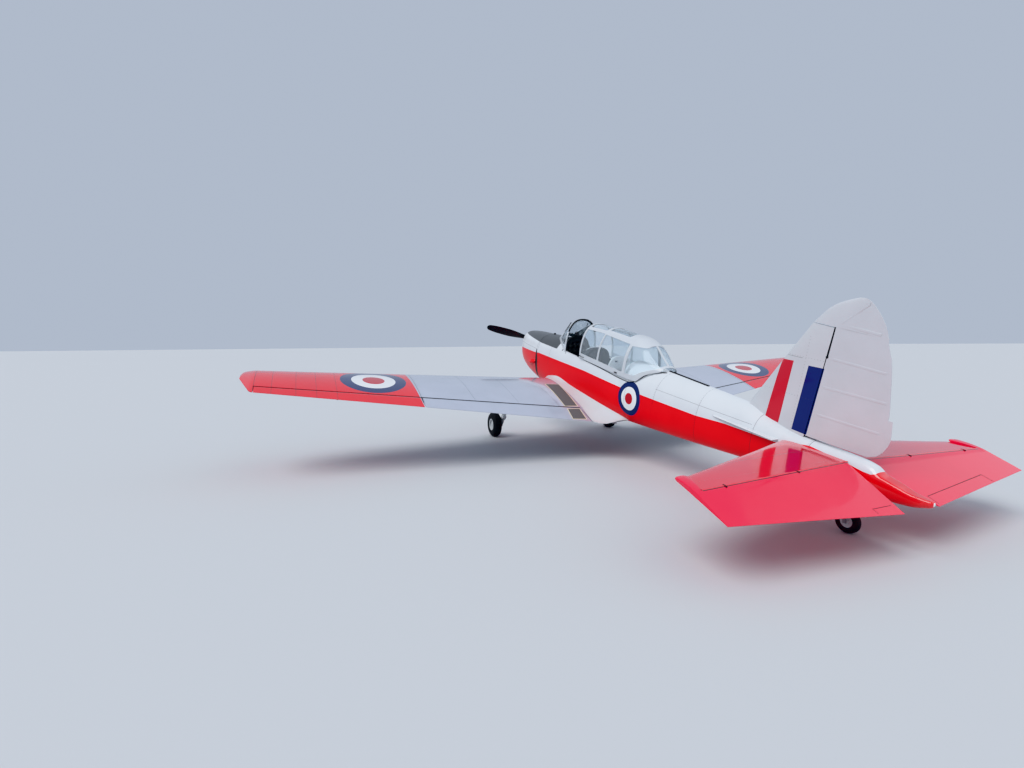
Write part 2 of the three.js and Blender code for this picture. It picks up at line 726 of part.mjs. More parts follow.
addPiece(level, 'fin', fin(), white);
addPiece(level, 'rudder', rudder(), white);
for (const [name, side] of [['left', 1], ['right', -1]]) {
  addPiece(level, `tailplane_${name}`, tailplaneSolid(side), red);
  addPiece(level, `elevator_${name}`, elevatorSolid(side), red);
  addPiece(level, `strake_${name}`, strake(side), white);
}

// Propeller: radius, chord, thickness and blade angle along each blade
const bladeTable = [
  [50, 90, 60, 45],
  [160, 112, 46, 42],
  [300, 142, 30, 34],
  [500, 165, 20, 26],
  [750, 152, 13, 20],
  [940, 116, 8, 17],
  [propeller.radius, 50, 4, 15],
];
const bladeOutline = [
  [0.5, 0], [0.3, 0.36], [0, 0.5], [-0.3, 0.3], [-0.5, 0], [-0.3, -0.3], [0, -0.5], [0.3, -0.36],
];

function blade(turn) {
  const angle = radians(propeller.angle + turn);
  const outward = new THREE.Vector3(0, Math.cos(angle), Math.sin(angle));
  const around = new THREE.Vector3(0, Math.sin(angle), -Math.cos(angle));
  const forward = new THREE.Vector3(1, 0, 0);
  return solid(loft(bladeTable.map(([radius, chord, thickness, pitch]) => {
    const p = radians(pitch);
    const along = around.clone().multiplyScalar(Math.cos(p)).addScaledVector(forward, Math.sin(p));
    const across = forward.clone().multiplyScalar(Math.cos(p)).addScaledVector(around, -Math.sin(p));
    return bladeOutline.map(([u, v]) => outward.clone().multiplyScalar(radius)
      .addScaledVector(along, u * chord).addScaledVector(across, v * thickness));
  })));
}

// A turned shape about the thrust line, from [radius, station] points.
function turned(profile, segments) {
  const points = profile.map(([radius, station]) => new THREE.Vector2(radius, -station));
  const geometry = new THREE.LatheGeometry(points, segments);
  return solid(geometry.rotateZ(-Math.PI / 2));
}

function propellerSolid() {
  const hub = rod(at(-45, 0, 0), at(50, 0, 0), propeller.hub, propeller.hub, 20);
  const shaft = rod(at(40, 0, 0), at(190, 0, 0), propeller.shaft, propeller.shaft, 16);
  return [blade(0), blade(180), shaft].reduce((body, piece) => body.add(piece), hub);
}

function spinner() {
  const shell = turned([
    [123, 45], [128, 45], [127, 0], [113, -55], [86, -105], [48, -152], [0, -180],
    [0, -174], [46, -146], [82, -101], [108, -54], [122, 0], [123, 45],
  ], 16);
  const angle = radians(propeller.angle);
  const reach = new THREE.Vector3(0, Math.cos(angle) * 200, Math.sin(angle) * 200);
  return shell.subtract(rod(reach.clone().negate(), reach, 66, 66, 16));
}

function exhaust() {
  const path = new THREE.CatmullRomCurve3([
    at(740, -70, -415), at(820, -80, -480), at(900, -95, -570),
    at(1000, -105, -700), at(1035, -105, -745),
  ]);
  const ring = new THREE.Shape().absarc(0, 0, 30, 0, Math.PI * 2);
  return new THREE.ExtrudeGeometry(ring, { steps: 10, extrudePath: path, curveSegments: 6 });
}

addPiece(level, 'propeller', propellerSolid(), black);
addPiece(level, 'spinner', spinner(), black);
addPiece(level, 'exhaust_pipe', exhaust(), steel, 0.5, 0.7);

// The level airframe is pitched about the main axle, and set on its wheels.
const axle = at(mainWheel.station, 0, mainWheel.height);
level.rotation.y = -radians(groundAngle);
const turnedAxle = axle.clone().applyEuler(level.rotation);
level.position.set(centreShift - turnedAxle.x, 0, mainWheel.radius - turnedAxle.z);
level.updateMatrix();

// Wheels: each tyre has a flat facet on the ground.
const wheelSegments = 20;
function wheelPart(profile, x, y, z) {
  const points = profile.map(([radius, across]) => new THREE.Vector2(radius, across));
  const geometry = new THREE.LatheGeometry(points, wheelSegments, Math.PI / wheelSegments);
  return geometry.translate(x, y, z);
}

const facet = Math.cos(Math.PI / wheelSegments);
const mainTread = mainWheel.radius / facet;
const mainTyre = [
  [100.5, -58], [110, -61], [126, -72], [165, -77], [202, -64], [mainTread, -32],
  [mainTread, 32], [202, 64], [165, 77], [126, 72], [110, 61], [100.5, 58], [100.5, -58],
];
const mainRim = [
  [21.5, -44], [62, -44], [70, -18], [90, -18], [94, -67], [106, -67], [106, -64], [100, -62],
  [100, 62], [106, 64], [106, 67], [94, 67], [90, 18], [70, 18], [62, 44], [21.5, 44], [21.5, -44],
];
for (const [name, side] of [['left', 1], ['right', -1]]) {
  const place = [centreShift, side * mainWheel.y, mainWheel.radius];
  addPiece(aircraft, `wheel_rim_${name}`, wheelPart(mainRim, ...place), white);
  addPiece(aircraft, `tyre_${name}`, wheelPart(mainTyre, ...place), black, 0.8);
}

// The castoring tailwheel, upright on the ground: a fork below a boss on a leg.
const tailX = centreShift - tailWheel.behindMain;
const castorX = tailX + tailWheel.trail;
const tailTread = tailWheel.radius / facet;
const tailTyre = [
  [56.5, -26], [72, -36], [94, -34], [tailTread, -16],
  [tailTread, 16], [94, 34], [72, 36], [56.5, 26], [56.5, -26],
];
const tailRim = [
  [10.5, -38], [20, -38], [24, -24], [56, -24], [56, 24], [24, 24], [20, 38], [10.5, 38],
  [10.5, -38],
];
const crown = { low: 228, high: 254 };
const boss = { low: 260, high: 340, radius: 28, bore: 15 };

const upright = (x, y, z) => new THREE.Vector3(x, y, z);
function block(x0, y0, z0, x1, y1, z1) {
  const geometry = new THREE.BoxGeometry(Math.abs(x1 - x0), Math.abs(y1 - y0), Math.abs(z1 - z0));
  return solid(geometry.translate((x0 + x1) / 2, (y0 + y1) / 2, (z0 + z1) / 2));
}

function tailFork() {
  const plate = block(castorX + 30, -54, crown.low, tailX - 16, 54, crown.high);
  const blades = [-1, 1].map((side) => (
    block(tailX + 18, side * 44, 94, tailX - 16, side * 54, crown.high)));
  const hub = (y) => upright(tailX, y, tailWheel.radius);
  const axleRod = rod(hub(-54), hub(54), 9, 9, 12);
  const pin = (z) => upright(castorX, 0, z);
  const spindle = rod(pin(crown.high - 2), pin(boss.high - 6), 13.8, 13.8);
  return [...blades, axleRod, spindle].reduce((body, piece) => body.add(piece), plate);
}

function tailLeg() {
  const pin = (height) => upright(castorX, 0, height);
  const outer = rod(pin(boss.low), pin(boss.high), boss.radius, boss.radius, 20);
  const bore = rod(pin(boss.low - 5), pin(boss.high + 5), boss.bore, boss.bore, 16);
  const foot = at(6690, 0, -100).applyMatrix4(level.matrix);
  const strut = rod(upright(castorX + 30, 0, (boss.low + boss.high) / 2 + 5), foot, 26, 40, 12);
  const turnMatrix = level.matrix.toArray();
  const skin = bodyEnvelope.transform([...turnMatrix]);
  return mainBody(outer.add(strut).subtract(bore).subtract(skin));
}

addPiece(aircraft, 'tail_leg', tailLeg(), white);
addPiece(aircraft, 'tailwheel_fork', tailFork(), steel, 0.5, 0.5);
addPiece(aircraft, 'tailwheel_rim', wheelPart(tailRim, tailX, 0, tailWheel.radius), white);
addPiece(aircraft, 'tailwheel_tyre', wheelPart(tailTyre, tailX, 0, tailWheel.radius), black, 0.8);

export default aircraft;
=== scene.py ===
# A two-seat training aircraft with a tailwheel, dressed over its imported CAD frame.
import bpy
from math import cos, pi, radians, sin, sqrt
from mathutils import Matrix, Vector


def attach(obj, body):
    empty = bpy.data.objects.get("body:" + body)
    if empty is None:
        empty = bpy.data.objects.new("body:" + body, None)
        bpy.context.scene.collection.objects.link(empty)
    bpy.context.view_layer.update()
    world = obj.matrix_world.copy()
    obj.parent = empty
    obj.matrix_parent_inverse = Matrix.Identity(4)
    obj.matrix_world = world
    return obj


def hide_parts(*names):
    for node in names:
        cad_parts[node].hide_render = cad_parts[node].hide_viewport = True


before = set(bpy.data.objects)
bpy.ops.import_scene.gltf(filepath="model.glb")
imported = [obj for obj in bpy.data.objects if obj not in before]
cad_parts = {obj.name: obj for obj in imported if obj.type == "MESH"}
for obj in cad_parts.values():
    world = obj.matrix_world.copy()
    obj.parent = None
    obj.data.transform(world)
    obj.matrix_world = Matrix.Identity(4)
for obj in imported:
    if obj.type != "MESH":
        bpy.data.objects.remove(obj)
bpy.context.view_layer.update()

# The airframe is drawn level: x forward from the propeller, y to the left wing, z up
# from the thrust line. This matrix sits it on its wheels.
levelToRow = Matrix.Translation((3.637223, 0, 1.814004)) @ Matrix.Rotation(radians(-10.3), 4, "Y")
toLevel = levelToRow.inverted()
bothSides = ((1, "left"), (-1, "right"))


def at(station, y, height):
    # a place on the level airframe, from mm aft of the propeller, left and up
    return Vector((-station, y, height)) / 1000


def steps(start, end, count):
    return [start + (end - start) * i / count for i in range(count + 1)]


def rowAt(table, place):
    # each column of a table on a smooth curve through its rows that never overshoots
    last = len(table) - 1
    low = max(k for k in range(last) if table[k][0] <= place or k == 0)
    a, b = table[low], table[low + 1]
    reach = b[0] - a[0]
    t = (place - a[0]) / reach
    values = [place]
    for column in range(1, len(a)):
        rises = [(table[k + 1][column] - table[k][column]) / (table[k + 1][0] - table[k][0])
                 for k in range(max(0, low - 1), min(last, low + 2))]
        middle = rises[1] if low > 0 else rises[0]
        before = rises[0] if low > 0 else middle
        after = rises[-1] if low + 1 < last else middle
        slope0 = 0 if before * middle <= 0 else 2 * before * middle / (before + middle)
        slope1 = 0 if after * middle <= 0 else 2 * after * middle / (after + middle)
        values.append(a[column] * (1 + 2 * t) * (1 - t) ** 2 + b[column] * t * t * (3 - 2 * t)
                      + reach * (slope0 * t * (1 - t) ** 2 - slope1 * t * t * (1 - t)))
    return values


def swell(value, power):
    # one side of a rounded-square curve
    return (abs(value) ** (2 / power)) * (1 if value > 0 else -1)


def pickOnly(piece):
    bpy.ops.object.select_all(action="DESELECT")
    piece.select_set(True)
    bpy.context.view_layer.objects.active = piece


def pickFaces(piece, wanted):
    # leaves the piece in edit mode with only the wanted faces selected
    pickOnly(piece)
    bpy.ops.object.mode_set(mode="EDIT")
    bpy.ops.mesh.select_mode(type="FACE")
    bpy.ops.mesh.select_all(action="DESELECT")
    bpy.ops.object.mode_set(mode="OBJECT")
    for face in piece.data.polygons:
        face.select = wanted(face.center, face.normal)
    bpy.ops.object.mode_set(mode="EDIT")


def named(name):
    piece = bpy.context.object
    piece.name = piece.data.name = name
    return piece


def bendGrid(name, rows, closed=False):
    # a grid laid on rows of points; closed covers its open ends
    bpy.ops.mesh.primitive_grid_add(x_subdivisions=len(rows[0]) - 1, y_subdivisions=len(rows) - 1)
    piece = named(name)
    piece.data.vertices.foreach_set("co", [value for row in rows for point in row for value in point])
    bpy.ops.object.mode_set(mode="EDIT")
    bpy.ops.mesh.select_all(action="SELECT")
    bpy.ops.mesh.remove_doubles(threshold=2e-6)
    bpy.ops.mesh.select_all(action="SELECT")
    if closed:
        bpy.ops.mesh.fill_holes(sides=0)
    bpy.ops.mesh.select_all(action="SELECT")
    bpy.ops.mesh.normals_make_consistent(inside=False)
    bpy.ops.object.mode_set(mode="OBJECT")
    return piece


def modify(piece, kind, **settings):
    pickOnly(piece)
    modifier = piece.modifiers.new(kind, kind)
    for setting, value in settings.items():
        setattr(modifier, setting, value)
    bpy.ops.object.modifier_apply(modifier=modifier.name)
    return piece


def cutAway(piece, cutter, operation="DIFFERENCE"):
    modify(piece, "BOOLEAN", operation=operation, object=cutter, solver="EXACT")
    bpy.data.objects.remove(cutter)
    return piece


def joinAll(name, pieces):
    pickOnly(pieces[0])
    for piece in pieces:
        piece.select_set(True)
    bpy.ops.object.join()
    return named(name)


def flipNormals(piece):
    pickOnly(piece)
    bpy.ops.object.mode_set(mode="EDIT")
    bpy.ops.mesh.select_all(action="SELECT")
    bpy.ops.mesh.flip_normals()
    bpy.ops.object.mode_set(mode="OBJECT")


def slid(piece, name, x=0, y=0, z=0):
    # a copy with its own mesh, moved
    twin = piece.copy()
    twin.data = piece.data.copy()
    bpy.context.scene.collection.objects.link(twin)
    twin.data.transform(Matrix.Translation((x, y, z)))
    twin.name = twin.data.name = name
    return twin


def inCircle(axis, radius, count, offset=0):
    # places round a circle across the x or the y axis, as directions of that length
    for i in range(count):
        turn = 2 * pi * (i + offset) / count
        yield radius * Vector((0, cos(turn), sin(turn)) if axis == "x" else (cos(turn), 0, sin(turn)))


def block(name, low, high, round=0):
    # a box between two level corners, with its edges rounded
    low, high = Vector(low), Vector(high)
    bpy.ops.mesh.primitive_cube_add(size=1, location=(low + high) / 2)
    piece = named(name)
    piece.scale = [abs(value) for value in high - low]
    bpy.ops.object.transform_apply()
    if round:
        modify(piece, "BEVEL", width=round, segments=3)
    return piece


def aimed(direction):
    # the turn that brings a primitive's own z axis to a direction
    return Vector(direction).to_track_quat("Z", "Y").to_euler()


def rod(name, start, end, radius, endRadius=None, sides=24, round=0):
    start, end = Vector(start), Vector(end)
    bpy.ops.mesh.primitive_cone_add(vertices=sides, radius1=radius,
                                    radius2=radius if endRadius is None else endRadius,
                                    depth=(end - start).length, location=(start + end) / 2,
                                    rotation=aimed(end - start))
    bpy.ops.object.transform_apply()
    piece = named(name)
    return modify(piece, "BEVEL", width=round, segments=2, limit_method="ANGLE") if round else piece


def turned(name, profile, centre, axis, segments=48, closed=False):
    # a turned shape: [radius, distance along the axis] points swept round it
    axis = Vector(axis).normalized()
    side = axis.orthogonal().normalized()
    up = axis.cross(side)
    rows = [[Vector(centre) + axis * along + radius * (side * cos(a) + up * sin(a))
             for radius, along in profile]
            for a in steps(0, 2 * pi, segments)]
    return bendGrid(name, rows, closed)


def tube(name, path, radius, sides=12, closed=True):
    # a round bar along a path of points
    path = [Vector(point) for point in path]
    rows = []
    for i, point in enumerate(path):
        ahead = (path[min(i + 1, len(path) - 1)] - path[max(i - 1, 0)]).normalized()
        side = ahead.cross(Vector((0, 1, 0)) if abs(ahead.y) < 0.9 else Vector((0, 0, 1))).normalized()
        up = side.cross(ahead)
        rows.append([point + radius * (side * cos(a) + up * sin(a)) for a in steps(0, 2 * pi, sides)])
    return bendGrid(name, rows, closed)


def fit(piece, body, slot, material, replaces=(), level=True, angle=32):
    # finishes a piece: its place in its mesh, smooth shading, its body, slot and look
    if level:
        piece.data.transform(levelToRow)
    pickOnly(piece)
    bpy.ops.object.shade_smooth_by_angle(angle=radians(angle))
    piece.data.materials.clear()
    piece.data.materials.append(material)
    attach(piece, body)
    if replaces:
        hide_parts(*replaces)
    return piece


# Materials
def linear(code):
    # an sRGB hex colour as the linear values that shaders take
    parts = [int(code[i:i + 2], 16) / 255 for i in (0, 2, 4)]
    return tuple(v / 12.92 if v <= 0.04045 else ((v + 0.055) / 1.055) ** 2.4 for v in parts) + (1,)


def addNode(tree, kind, inputs=None, **settings):
    node = tree.nodes.new("ShaderNode" + kind)
    for setting, value in settings.items():
        setattr(node, setting, value)
    for socket, value in (inputs or {}).items():
        if isinstance(value, bpy.types.Node):
            value = next(output for output in value.outputs if output.enabled)
        if isinstance(value, bpy.types.NodeSocket):
            tree.links.new(value, node.inputs[socket])
        else:
            node.inputs[socket].default_value = value
    return node


def finish(name, code, roughness, metallic=0, coat=0, grain=None, **sockets):
    # a plain finish; grain is (size of its pattern in metres, bump depth, change of tone)
    material = bpy.data.materials.new(name)
    material.use_nodes = True
    tree = material.node_tree
    shader = tree.nodes["Principled BSDF"]
    shader.inputs["Base Color"].default_value = linear(code)
    shader.inputs["Roughness"].default_value = roughness
    shader.inputs["Metallic"].default_value = metallic
    shader.inputs["Coat Weight"].default_value = coat
    for socket, value in sockets.items():
        shader.inputs[socket.replace("_", " ")].default_value = value
    if grain:
        size, depth, tone = grain
        place = addNode(tree, "TexCoord").outputs["Object"]
        noise = addNode(tree, "TexNoise", {"Vector": place, "Scale": 1 / size, "Detail": 4.0})
        shift = addNode(tree, "MapRange", {"Value": noise, 3: 1 - tone, 4: 1 + tone})
        shade = addNode(tree, "HueSaturation", {"Value": shift, "Color": linear(code)})
        tree.links.new(shade.outputs[0], shader.inputs["Base Color"])
        if depth:
            bump = addNode(tree, "Bump", {"Height": noise, "Distance": depth, "Strength": 1.0})
            tree.links.new(bump.outputs[0], shader.inputs["Normal"])
    return material


def insideOutline(tree, place, outline, across):
    # 1 inside a convex outline of [station, y or height] metres, seen along the third axis
    middle = [sum(values) / len(outline) for values in zip(*outline)]
    mask = None
    for (s0, a0), (s1, a1) in zip(outline, outline[1:] + outline[:1]):
        ns, na = a1 - a0, s0 - s1
        limit = ns * s0 + na * a0
        if ns * middle[0] + na * middle[1] > limit:
            ns, na, limit = -ns, -na, -limit
        facing = (-ns, na, 0) if across == "y" else (-ns, 0, na)
        reach = addNode(tree, "VectorMath", {0: place, 1: facing}, operation="DOT_PRODUCT")
        side = addNode(tree, "Math", {0: reach, 1: limit}, operation="LESS_THAN")
        mask = side if mask is None else addNode(tree, "Math", {0: mask, 1: side}, operation="MULTIPLY")
    return mask


def mirrored(tree, place):
    # the same place with y made positive, so that one mark serves both sides
    split = addNode(tree, "SeparateXYZ", {0: place})
    across = addNode(tree, "Math", {0: split.outputs[1]}, operation="ABSOLUTE")
    return addNode(tree, "CombineXYZ", {0: split.outputs[0], 1: across, 2: split.outputs[2]})


def roundMarks(tree, place, centre, radius, whiteShare, redShare, flatten):
    # blue, white and red rings about a centre, seen along the flattened axis. The ramp
    # runs past the blue ring's edge, to a last tone that is clear
    rampReach = 1.25
    flat = addNode(tree, "VectorMath", {0: place, 1: flatten}, operation="MULTIPLY")
    away = addNode(tree, "VectorMath", {0: flat, 1: centre}, operation="DISTANCE")
    share = addNode(tree, "Math", {0: away, 1: radius * rampReach}, operation="DIVIDE")
    ramp = addNode(tree, "ValToRGB", {0: share})
    ramp.color_ramp.interpolation = "CONSTANT"
    tones = ["C2222C", "EDEEEF", "1F2D63", "000000"]
    while len(ramp.color_ramp.elements) < 4:
        ramp.color_ramp.elements.new(0.5)
    for element, start, tone in zip(ramp.color_ramp.elements,
                                    (0, redShare / rampReach, whiteShare / rampReach, 1 / rampReach),
                                    tones):
        element.position = start
        element.color = linear(tone)
    ramp.color_ramp.elements[3].color = (0, 0, 0, 0)
    return ramp.outputs["Alpha"], ramp.outputs["Color"]


def seamMask(tree, axes, seams):
    # 1 on thin lines; a seam is (axis, place, width, crossing axis, from, to)
    total = None
    for axis, value, width, crossing, start, end in seams:
        line = addNode(tree, "Math", {0: axes[axis], 1: value, 2: width / 2}, operation="COMPARE")
        span = addNode(tree, "Math", {0: axes[crossing], 1: (start + end) / 2, 2: abs(end - start) / 2},
                       operation="COMPARE")
        mark = addNode(tree, "Math", {0: line, 1: span}, operation="MULTIPLY")
        total = mark if total is None else addNode(tree, "Math", {0: total, 1: mark}, operation="MAXIMUM")
    return total


enamel = {
    # how dark seams and rivets are, as parts, and their sizes in metres
    "seamShade": 0.55, "seamDepth": 0.0012, "rivetShade": 0.3, "rivetHeight": 0.0006, "rivetRadius": 0.0035,
    "dent": 0.0011, "coatRoughness": 0.06,
}


def paint(name, base, marks=None, seams=(), rivets=(), gloss=0.28, coat=0.5, mirror=0.5):
    # aircraft enamel over sheet metal: even colour under a clear, slightly wavy shine. marks
    # gives (mask, colour) pairs, seams are dark joints, and rivets are dotted rows
    material = bpy.data.materials.new(name)
    material.use_nodes = True
    tree = material.node_tree
    shader = tree.nodes["Principled BSDF"]
    shader.inputs["Roughness"].default_value = gloss
    shader.inputs["Coat Weight"].default_value = coat
    shader.inputs["Coat Roughness"].default_value = enamel["coatRoughness"]
    shader.inputs["Specular IOR Level"].default_value = mirror
    source = addNode(tree, "TexCoord").outputs["Object"]
    place = addNode(tree, "Mapping", {"Vector": source, "Location": toLevel.translation,
                                      "Rotation": toLevel.to_euler()})
    split = addNode(tree, "SeparateXYZ", {0: place})
    axes = {
        "station": addNode(tree, "Math", {0: split.outputs[0], 1: -1}, operation="MULTIPLY"),
        "y": addNode(tree, "Math", {0: split.outputs[1]}, operation="ABSOLUTE"),
        "height": split.outputs[2],
    }
    worn = addNode(tree, "TexNoise", {"Vector": place, "Scale": 1.7, "Detail": 6.0, "Roughness": 0.6})
    colour = linear(base)
    for mask, tone in (marks(tree, place, axes) if marks else ()):
        tone = linear(tone) if isinstance(tone, str) else tone
        colour = addNode(tree, "Mix", {0: mask, 6: colour, 7: tone}, data_type="RGBA")
    tone = addNode(tree, "MapRange", {"Value": worn, 1: 0.3, 2: 0.7, 3: 0.94, 4: 1.04})
    colour = addNode(tree, "HueSaturation", {"Value": tone, "Color": colour})
    # sheet metal is never quite flat
    height = addNode(tree, "Math", {0: worn, 1: enamel["dent"]}, operation="MULTIPLY")
    lines = seamMask(tree, axes, seams)
    if lines:
        shade = addNode(tree, "Math", {0: lines, 1: enamel["seamShade"]}, operation="MULTIPLY")
        colour = addNode(tree, "Mix", {0: shade, 6: colour, 7: linear("2B2C2E")}, data_type="RGBA")
        height = addNode(tree, "Math", {0: lines, 1: -enamel["seamDepth"], 2: height},
                         operation="MULTIPLY_ADD")
    dots = None
    for axis, value, crossing, pitch, start, end in rivets:
        line = addNode(tree, "Math", {0: axes[axis], 1: value, 2: enamel["rivetRadius"]},
                       operation="COMPARE")
        fold = addNode(tree, "Math", {0: axes[crossing], 1: pitch / 2}, operation="PINGPONG")
        dot = addNode(tree, "Math", {0: fold, 1: enamel["rivetRadius"]}, operation="LESS_THAN")
        span = addNode(tree, "Math", {0: axes[crossing], 1: (start + end) / 2, 2: abs(end - start) / 2},
                       operation="COMPARE")
        dot = addNode(tree, "Math", {0: dot, 1: span}, operation="MULTIPLY")
        dot = addNode(tree, "Math", {0: dot, 1: line}, operation="MULTIPLY")
        dots = dot if dots is None else addNode(tree, "Math", {0: dots, 1: dot}, operation="MAXIMUM")
    if dots:
        shade = addNode(tree, "Math", {0: dots, 1: enamel["rivetShade"]}, operation="MULTIPLY")
        colour = addNode(tree, "Mix", {0: shade, 6: colour, 7: linear("4A4C50")}, data_type="RGBA")
        height = addNode(tree, "Math", {0: dots, 1: enamel["rivetHeight"], 2: height},
                         operation="MULTIPLY_ADD")
    bump = addNode(tree, "Bump", {"Height": height, "Distance": 1.0, "Strength": 0.8})
    tree.links.new(colour.outputs[2] if colour.type == "MIX" else colour.outputs[0],
                   shader.inputs["Base Color"])
    tree.links.new(bump.outputs[0], shader.inputs["Normal"])
    return material


# Fuselage
fuselage = {
    # station, half width, top, bottom, widest height, curve power above and below it
    "sections": [
        [75, 205, 172, -420, -90, 2.3, 2.4], [220, 268, 202, -505, -110, 2.3, 2.5],
        [560, 318, 234, -590, -130, 2.3, 2.7], [1060, 348, 264, -655, -150, 2.3, 2.9],
        [1600, 358, 300, -700, -180, 2.2, 2.9], [2150, 360, 318, -712, -190, 2.1, 2.9],
        [3000, 356, 318, -665, -190, 2.1, 2.8], [3950, 328, 313, -552, -170, 2.1, 2.8],
        [4400, 304, 308, -500, -150, 2.1, 2.9], [5100, 250, 290, -420, -100, 2.1, 2.9],
        [5780, 188, 268, -336, -50, 2.1, 2.8], [6000, 170, 214, -310, -35, 2.1, 2.6],
        [6480, 132, 141, -218, -15, 2.1, 2.5], [7020, 92, 134, -150, 0, 2.1, 2.5],
        [7120, 86, 116, -143, -5, 2.3, 2.5],
        [7176, 82, 66, -139, -8, 3.6, 2.5], [7300, 72, 36, -126, -18, 6, 2.5],
        [7450, 54, 7, -96, -34, 6, 2.4], [7572, 26, 5, -44, -18, 2.2, 2],
    ],
    "columns": 80, "cowlFront": 75, "firewall": 1060, "tailJoint": 6540, "tailEnd": 7572,
    "openFront": 1990, "openRear": 3765, "floor": -470, "wall": 30, "sill": 128, "sillFall": 0.023,
    # the upper edge of the red: station, height
    "redLine": [[0, -150], [420, -122], [1040, -91], [1180, -73], [2840, -37], [3180, -42], [3800, -51],
                [4280, -39], [5240, -26], [5630, 6], [6240, 15], [6330, 50], [6560, 93], [6900, 70],
                [7060, 50], [7140, 50], [7182, 90], [7200, 300], [7600, 300]],
    # the lower edge of the matt grey panel ahead of the windscreen
    "glareLine": [[100, 170], [180, 150], [520, 137], [1140, 112], [1780, 116], [1800, 200]],
    "glareSpan": (0.965, 0.825),  # middle and half length in metres
    # joint is the near-black of the shade painted into the joint behind the cowling
    "red": "EE0812", "glare": "585B5D", "joint": "141516", "white": "D9DCDF",
    # the rings: centre and radius in metres, and the shares of the white and the red disc
    "rings": ((-4.05, 0, -0.155), 0.235, 0.69, 0.33),
    # painted shade of the open joint behind the cowling, a near-black wedge much wider than the gap:
    # station, height in metres
    "gapShadeOutline": [(1.046, -0.02), (1.072, -0.02), (1.13, -0.2), (1.138, -0.4), (1.1, -0.63),
                     (1.05, -0.63), (1.036, -0.3)],
}


def sillHeight(station):
    # the sill falls slowly towards the rear
    return fuselage["sill"] - fuselage["sillFall"] * (station - fuselage["openFront"])


def bodyPoint(station, angle, outset=0):
    _, half, top, bottom, waist, power, lowPower = rowAt(fuselage["sections"], station)
    above = cos(angle) > 0
    reach = top - waist if above else waist - bottom
    corner = power if above else lowPower
    return at(station, (half + outset) * swell(sin(angle), corner),
              waist + (reach + outset) * swell(cos(angle), corner))


def bodyRow(station, outset=0):
    return [bodyPoint(station, angle, outset) for angle in steps(0, 2 * pi, fuselage["columns"])]


def bodyHalf(station, height):
    # the body's half width at a height
    _, half, top, bottom, waist, power, lowPower = rowAt(fuselage["sections"], station)
    above = height > waist
    part = (height - waist) / (top - waist) if above else (waist - height) / (waist - bottom)
    corner = power if above else lowPower
    return half * max(0, 1 - part ** corner) ** (1 / corner)


def cutOpening(shell, front, rear):
    # bisects the skin along the cockpit's edges and takes out the faces between them
    low, high = -rear / 1000, -front / 1000
    for place, facing in ((at(front, 0, 0), (1, 0, 0)), (at(rear, 0, 0), (1, 0, 0)),
                          (at(front, 0, sillHeight(front)), (-fuselage["sillFall"], 0, 1))):
        pickFaces(shell, lambda centre, normal: low - 0.2 < centre.x < high + 0.2)
        bpy.ops.mesh.bisect(plane_co=place, plane_no=facing)
        bpy.ops.object.mode_set(mode="OBJECT")
    pickFaces(shell, lambda centre, normal: low < centre.x < high
              and centre.z * 1000 > sillHeight(-centre.x * 1000))
    bpy.ops.mesh.delete(type="FACE")
    bpy.ops.object.mode_set(mode="OBJECT")


def curveHeight(tree, axes, points):
    # a height in metres that follows [station, height] points in mm. The curve's square
    # stands for stations from 0 to its length and heights of half its depth either way
    length, depth = 8000, 2000
    scaled = addNode(tree, "Math", {0: axes["station"], 1: length / 1000}, operation="DIVIDE")
    line = addNode(tree, "FloatCurve", {"Value": scaled})
    curve = line.mapping.curves[0]
    while len(curve.points) < len(points):
        curve.points.new(0.5, 0.5)
    for point, (station, height) in zip(curve.points, points):
        point.location = (station / length, 0.5 + height / depth)
        point.handle_type = "VECTOR"
    line.mapping.update()
    level = addNode(tree, "Math", {0: line, 1: 0.5}, operation="SUBTRACT")
    return addNode(tree, "Math", {0: level, 1: depth / 1000}, operation="MULTIPLY")


def bodyMarks(tree, place, axes):
    redTop = curveHeight(tree, axes, fuselage["redLine"])
    yield addNode(tree, "Math", {0: axes["height"], 1: redTop}, operation="LESS_THAN"), fuselage["red"]
    glareLow = curveHeight(tree, axes, fuselage["glareLine"])
    glare = addNode(tree, "Math", {0: axes["height"], 1: glareLow}, operation="GREATER_THAN")
    middle, half = fuselage["glareSpan"]
    ahead = addNode(tree, "Math", {0: axes["station"], 1: middle, 2: half}, operation="COMPARE")
    yield addNode(tree, "Math", {0: glare, 1: ahead}, operation="MULTIPLY"), fuselage["glare"]
    yield roundMarks(tree, place, *fuselage["rings"], (1, 0, 1))
    # a near-black wedge painted as the shade in the joint behind the cowling
    yield insideOutline(tree, place, fuselage["gapShadeOutline"], "height"), fuselage["joint"]


# enamel that weather has dulled: strong colour with a broad soft highlight
bodyPaint = paint("gloss_enamel_fuselage", fuselage["white"], bodyMarks,
                  seams=[("station", 1.105, 0.007, "height", 0.0, 0.4),
                         ("station", 1.6, 0.004, "height", -0.2, 0.4),
                         ("station", 3.95, 0.004, "height", -0.6, 0.4),
                         ("station", 4.52, 0.004, "height", -0.1, 0.4),
                         ("station", 5.24, 0.004, "height", -0.4, 0.4),
                         ("station", 5.98, 0.005, "height", -0.4, 0.4),
                         ("height", 0.098, 0.004, "station", 4.5, 5.95),
                         ("y", 0.0, 0.005, "station", 0.1, 1.56)],
                  rivets=[("station", 3.965, "height", 0.03, -0.6, 0.31),
                          ("station", 4.505, "height", 0.03, -0.5, 0.3),
                          ("station", 5.225, "height", 0.03, -0.4, 0.28),
                          ("station", 1.615, "height", 0.03, -0.6, 0.3)],
                  gloss=0.4, coat=0.14, mirror=0.3)

